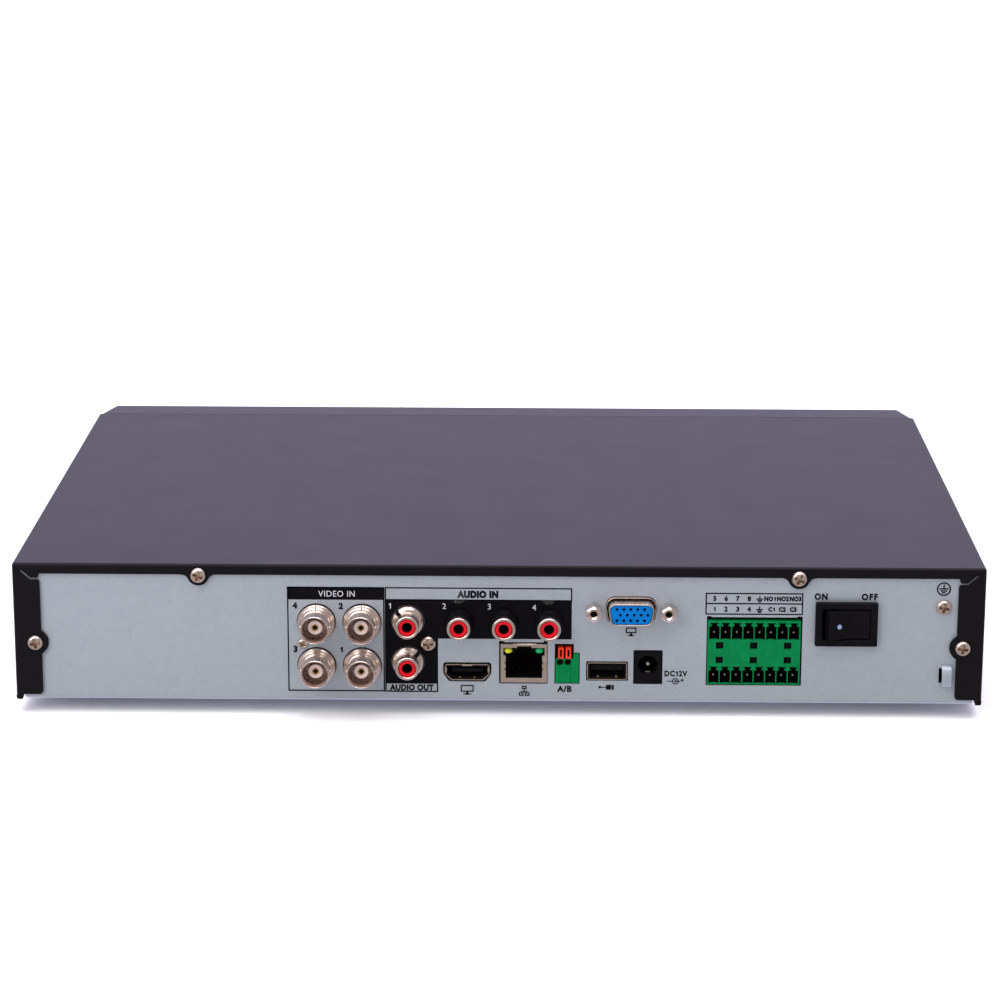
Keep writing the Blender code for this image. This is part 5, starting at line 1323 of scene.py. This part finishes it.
def make_alarm_terminal():
    """Two-row pluggable terminal header: stepped pockets and windows lined with painted shade, and square
    pins.
    """
    low, high = extent("alarm_terminal")
    ways = [low.x + 2.25 + ALARM_PITCH * way for way in range(8)]
    pockets, pins = [], []
    for floor, pin_z in ALARM_ROWS:
        pockets += [alarm_pocket(x, floor, 1.73) for x in ways]
        pins += [square_pin(x, pin_z) for x in ways]
    body = carve(block(low, high - Vector((0.0, 0.0, 0.4)), 0.25), plate(pockets, low.y - 2.0, 9.0))
    windows = [rounded(centred(x, z, 1.25, 1.2), 0.12) for x in WINDOW_COLUMNS for z in WINDOW_ROWS]
    body = carve(body, plate(windows, low.y - 2.0, 2.6))
    add("alarm_housing", body, "green_plastic", ("alarm_terminal",))
    add("alarm_pins", merge(*pins), "nickel_plate")
    # black sleeves and backs in the pockets, and black fills in the windows: painted shade
    pocket_shade = [plate([scaled(pocket, 1.01), scaled(pocket, 0.97)], 0.35, 8.9) for pocket in pockets]
    pocket_shade += [plate([scaled(pocket, 1.01)], 8.8, 9.1) for pocket in pockets]
    pocket_shade += [plate([scaled(window, 1.01)], 0.9, 2.5) for window in windows]
    add("alarm_pocket_shade", merge(*pocket_shade), "black_plastic")


def make_switch():
    """Rocker switch: chamfered bezel, dark well, curved rocker and its dot."""
    x, z = spot("switch_housing")
    low, high = extent("switch_housing")
    well, sides = centred(x, z, 8.0, 5.3), centred(x, z, 9.6, 6.45)
    bezel = plate([rounded(grown(low, high, 0.0), 0.5), well], low.y, -0.3, 0.45, rounds=3)
    body = join(bezel, plate([sides, well], -1.0, high.y - 5.0))
    body = join(body, plate([sides], high.y - 5.5, high.y, 0.3))
    body = carve(body, rod(1.3, (x, 2.5, z - 8.0), (x, 2.5, z + 8.0)))
    add("switch_case", body, "black_plastic", ("switch_housing",))
    pivot = Vector((x, 2.5, z))
    outline = [(-7.55, 0.4), (-7.55, -1.8)] + arc(-6.55, -5.3, 0.6, 200, 250, 3)
    shares = [-1 + i / 6 for i in range(1, 12)]
    outline += [(6.2 * share, -4.75 - 1.2 * share * share) for share in shares]
    outline += arc(6.55, -5.3, 0.6, 290, 340, 3) + [(7.55, -1.8), (7.55, 0.4), (4.0, 4.0), (-4.0, 4.0)]
    rocker = plate([outline], -4.95, 4.95, 0.35, "Z", rounds=3)
    rocker = join(rocker, rod(0.95, (0, 0, -6.0), (0, 0, 6.0)))
    tilt = math.radians(ROCKER_TILT)
    move(spun(rocker, tilt, "Z"), pivot)
    add("rocker_cap", rocker, "black_plastic", ("switch_rocker",), "rocker", smooth=40.0)
    dot = lathe([(0.0, 0.22), (0.75, 0.22), (0.8, 0.17), (0.8, -0.3), (0.0, -0.3)], 0.0, 0.0, 32)
    move(spun(dot, 0.21, "Z"), (-3.4, -5.06, -0.4))
    move(spun(dot, tilt, "Z"), pivot)
    piece("rocker_dot", dot, LOOKS["rocker_mark"], "rocker")


# ---- front

def make_bezel():
    """Hollow gloss bezel, its dark window, and the openings of its port."""
    low, high = extent("front_bezel")
    front, base, top = high.y, low.z, high.z
    behind = BEZEL_REAR - 4.0
    # outside: the right half of the plan, and the side view
    plan = [(162.0, behind), (160.9, BEZEL_REAR), (157.0, 226.0), (153.6, 237.5), (150.0, front)]
    side = [(behind, base), (behind, top), (226.0, top), (237.5, 43.0), (front, 34.0), (front, 10.0)]
    side += [(238.5, 2.5), (226.0, base)]
    body = plate([rounded(mirrored(plan), 1.2)], -20, 70, axis="Z")
    body = carve(body, plate([rounded(side, 1.2)], -170, 170, axis="X"), "INTERSECT")
    body = carve(body, block((-170, behind - 2, -20), (170, BEZEL_REAR, 70)))
    # hollow
    plan = [(162.2, 200.0), (158.9, BEZEL_REAR), (155.1, 225.5), (151.8, 236.5), (148.6, front - 2.0)]
    side = [(200.0, base + 2), (200.0, top - 2), (225.5, top - 2), (236.5, 41.2), (front - 2, 33.4)]
    side += [(front - 2, 10.6), (237.2, 4.5), (225.8, base + 2)]
    hollow = plate([mirrored(plan)], -20, 70, axis="Z")
    body = carve(body, carve(hollow, plate([side], -170, 170, axis="X"), "INTERSECT"))
    fittings = [block((x - 5.0, low.y, 44.8), (x + 5.0, 220.0, 46.4), 0.3) for x in HOOK_PLACES]
    fittings += [rod(2.5, (x, 228.5, 20.0), (x, front - 1.0, 20.0)) for x in (-137.0, -45.0)]
    body = join(body, merge(*fittings))
    port = rounded(outline_of("front_usb_socket", 0.3), 0.8)
    pane = rounded(centred(*PANE, 25.0, 5.0), 1.5)
    body = carve(body, plate([port, pane], front - 5, front + 5))
    add("bezel_shell", body, "bezel_plastic", ("front_bezel",), smooth=25.0)
    window = rounded(centred(*PANE, 24.7, 4.7), 1.2)
    window = plate([window], front - 4.0, front - 0.2, 0.25, rounds=3)
    rim = plate([rounded(centred(*PANE, 27.0, 7.0), 2.0)], front - 3.8, front - 2.3, 0.1)
    add("bezel_window", join(window, rim), "smoked_window", ("front_window",))


# ---- stage, light and camera

def make_floor():
    """Plain pale floor."""
    bm = bmesh.new()
    bmesh.ops.create_grid(bm, x_segments=2, y_segments=2, size=FLOOR_SIZE)
    mesh = bpy.data.meshes.new("floor")
    bm.to_mesh(mesh)
    bm.free()
    look = Look("floor_paper", roughness=0.9, specular=0.1)
    look.colour(look.noise(3.0), (0.90, 0.90, 0.90, 1.0), (0.93, 0.93, 0.93, 1.0))
    mesh.materials.append(look.material)
    floor = new_item("floor", mesh)
    floor.visible_glossy = False


def make_world():
    """Soft surround: bright and faintly violet behind the object, dim on the camera's side."""
    world = bpy.data.worlds.new("surround")
    bpy.context.scene.world = world
    world.use_nodes = True
    tree = world.node_tree
    where = tree.nodes.new("ShaderNodeTexCoord")
    parts = tree.nodes.new("ShaderNodeSeparateXYZ")
    tree.links.new(where.outputs["Generated"], parts.inputs["Vector"])
    ramp = tree.nodes.new("ShaderNodeValToRGB")
    spread = tree.nodes.new("ShaderNodeMapRange")
    spread.inputs["From Min"].default_value = -1.0
    tree.links.new(parts.outputs["Y"], spread.inputs["Value"])
    tree.links.new(spread.outputs["Result"], ramp.inputs["Fac"])
    near, far = ramp.color_ramp.elements
    near.position, near.color = 0.30, (*NEAR_SKY, 1.0)
    far.position, far.color = 0.75, (*FAR_SKY, 1.0)
    tree.links.new(ramp.outputs["Color"], tree.nodes["Background"].inputs["Color"])
    tree.nodes["Background"].inputs["Strength"].default_value = 1.0


NEAR_SKY = (0.42, 0.39, 0.365)
FAR_SKY = (1.53, 1.42, 1.95)
FLOOR_SIZE = 6.0
SUN_STRENGTH = 2.6
SUN_ANGLE = 60.0
SUN_TILT = 12.0
FILL_POWER = 8.0
FILL_SIZE = 0.7
FILL_PLACE = (-0.75, -0.95, 0.65)


def make_lights():
    """A wide soft key from above and a weaker panel at the camera's left."""
    light = bpy.data.lights.new("key", "SUN")
    light.energy = SUN_STRENGTH
    light.angle = math.radians(SUN_ANGLE)
    key = new_item("key", light)
    key.rotation_euler = (math.radians(SUN_TILT), 0.0, 0.0)
    light = bpy.data.lights.new("fill", "AREA")
    light.energy = FILL_POWER
    light.size = FILL_SIZE
    fill = new_item("fill", light)
    fill.location = FILL_PLACE
    fill.rotation_euler = (-Vector(FILL_PLACE)).to_track_quat("-Z", "Y").to_euler()


CAMERA_PLACE = (13.47, -995.15, 339.24)
CAMERA_PITCH = 15.113
CAMERA_YAW = 0.748
CAMERA_ROLL = 0.142
CAMERA_LENS = 112.02


def make_camera():
    """Camera above and behind the recorder, looking at its connector panel."""
    pitch, yaw, roll = (math.radians(a) for a in (CAMERA_PITCH, CAMERA_YAW, CAMERA_ROLL))
    level = Vector((math.cos(yaw), math.sin(yaw), 0.0))
    flat = Vector((-math.sin(yaw), math.cos(yaw), 0.0))
    ahead = flat * math.cos(pitch) - Vector((0, 0, 1)) * math.sin(pitch)
    over = level.cross(ahead)
    right = level * math.cos(roll) + over * math.sin(roll)
    up = over * math.cos(roll) - level * math.sin(roll)
    data = bpy.data.cameras.new("camera")
    data.sensor_width = 36.0
    data.lens = CAMERA_LENS
    data.clip_start = 0.01
    camera = new_item("camera", data)
    turn = Matrix((right, up, -ahead)).transposed().to_4x4()
    camera.matrix_world = Matrix.Translation((Vector(CAMERA_PLACE) + ORIGIN) * MM) @ turn
    bpy.context.scene.camera = camera
    bpy.context.scene.view_settings.view_transform = "Standard"


# ---- inside

INSIDE = {
    "circuit_board": ("main_board", "upper_board", "front_board", "drive_board"),
    "cast_aluminium": ("heatsink", "drive_base", "drive_arm"),
    "stamped_steel": ("coin_cell", "drive_cover"),
    "disk_mirror": ("drive_platter",),
    "black_plastic": ("cell_holder",),
    "cable_sleeve": ("data_cable", "power_cable", "front_cable", "switch_cable"),
}


def finish_inside():
    """Give the CAD solids inside the case their finishes."""
    for slot, nodes in INSIDE.items():
        for node in nodes:
            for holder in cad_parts[node].material_slots:
                holder.material = LOOKS[slot]


make_camera()
make_floor()
make_world()
make_lights()
make_cover()
make_tray()
make_print()
make_stickers()
make_screws()
make_feet()
make_coax_jacks()
make_audio_jacks()
make_video_socket()
make_network_socket()
make_serial_terminal()
make_data_sockets()
make_power_jack()
make_monitor_socket()
make_alarm_terminal()
make_switch()
make_bezel()
finish_inside()
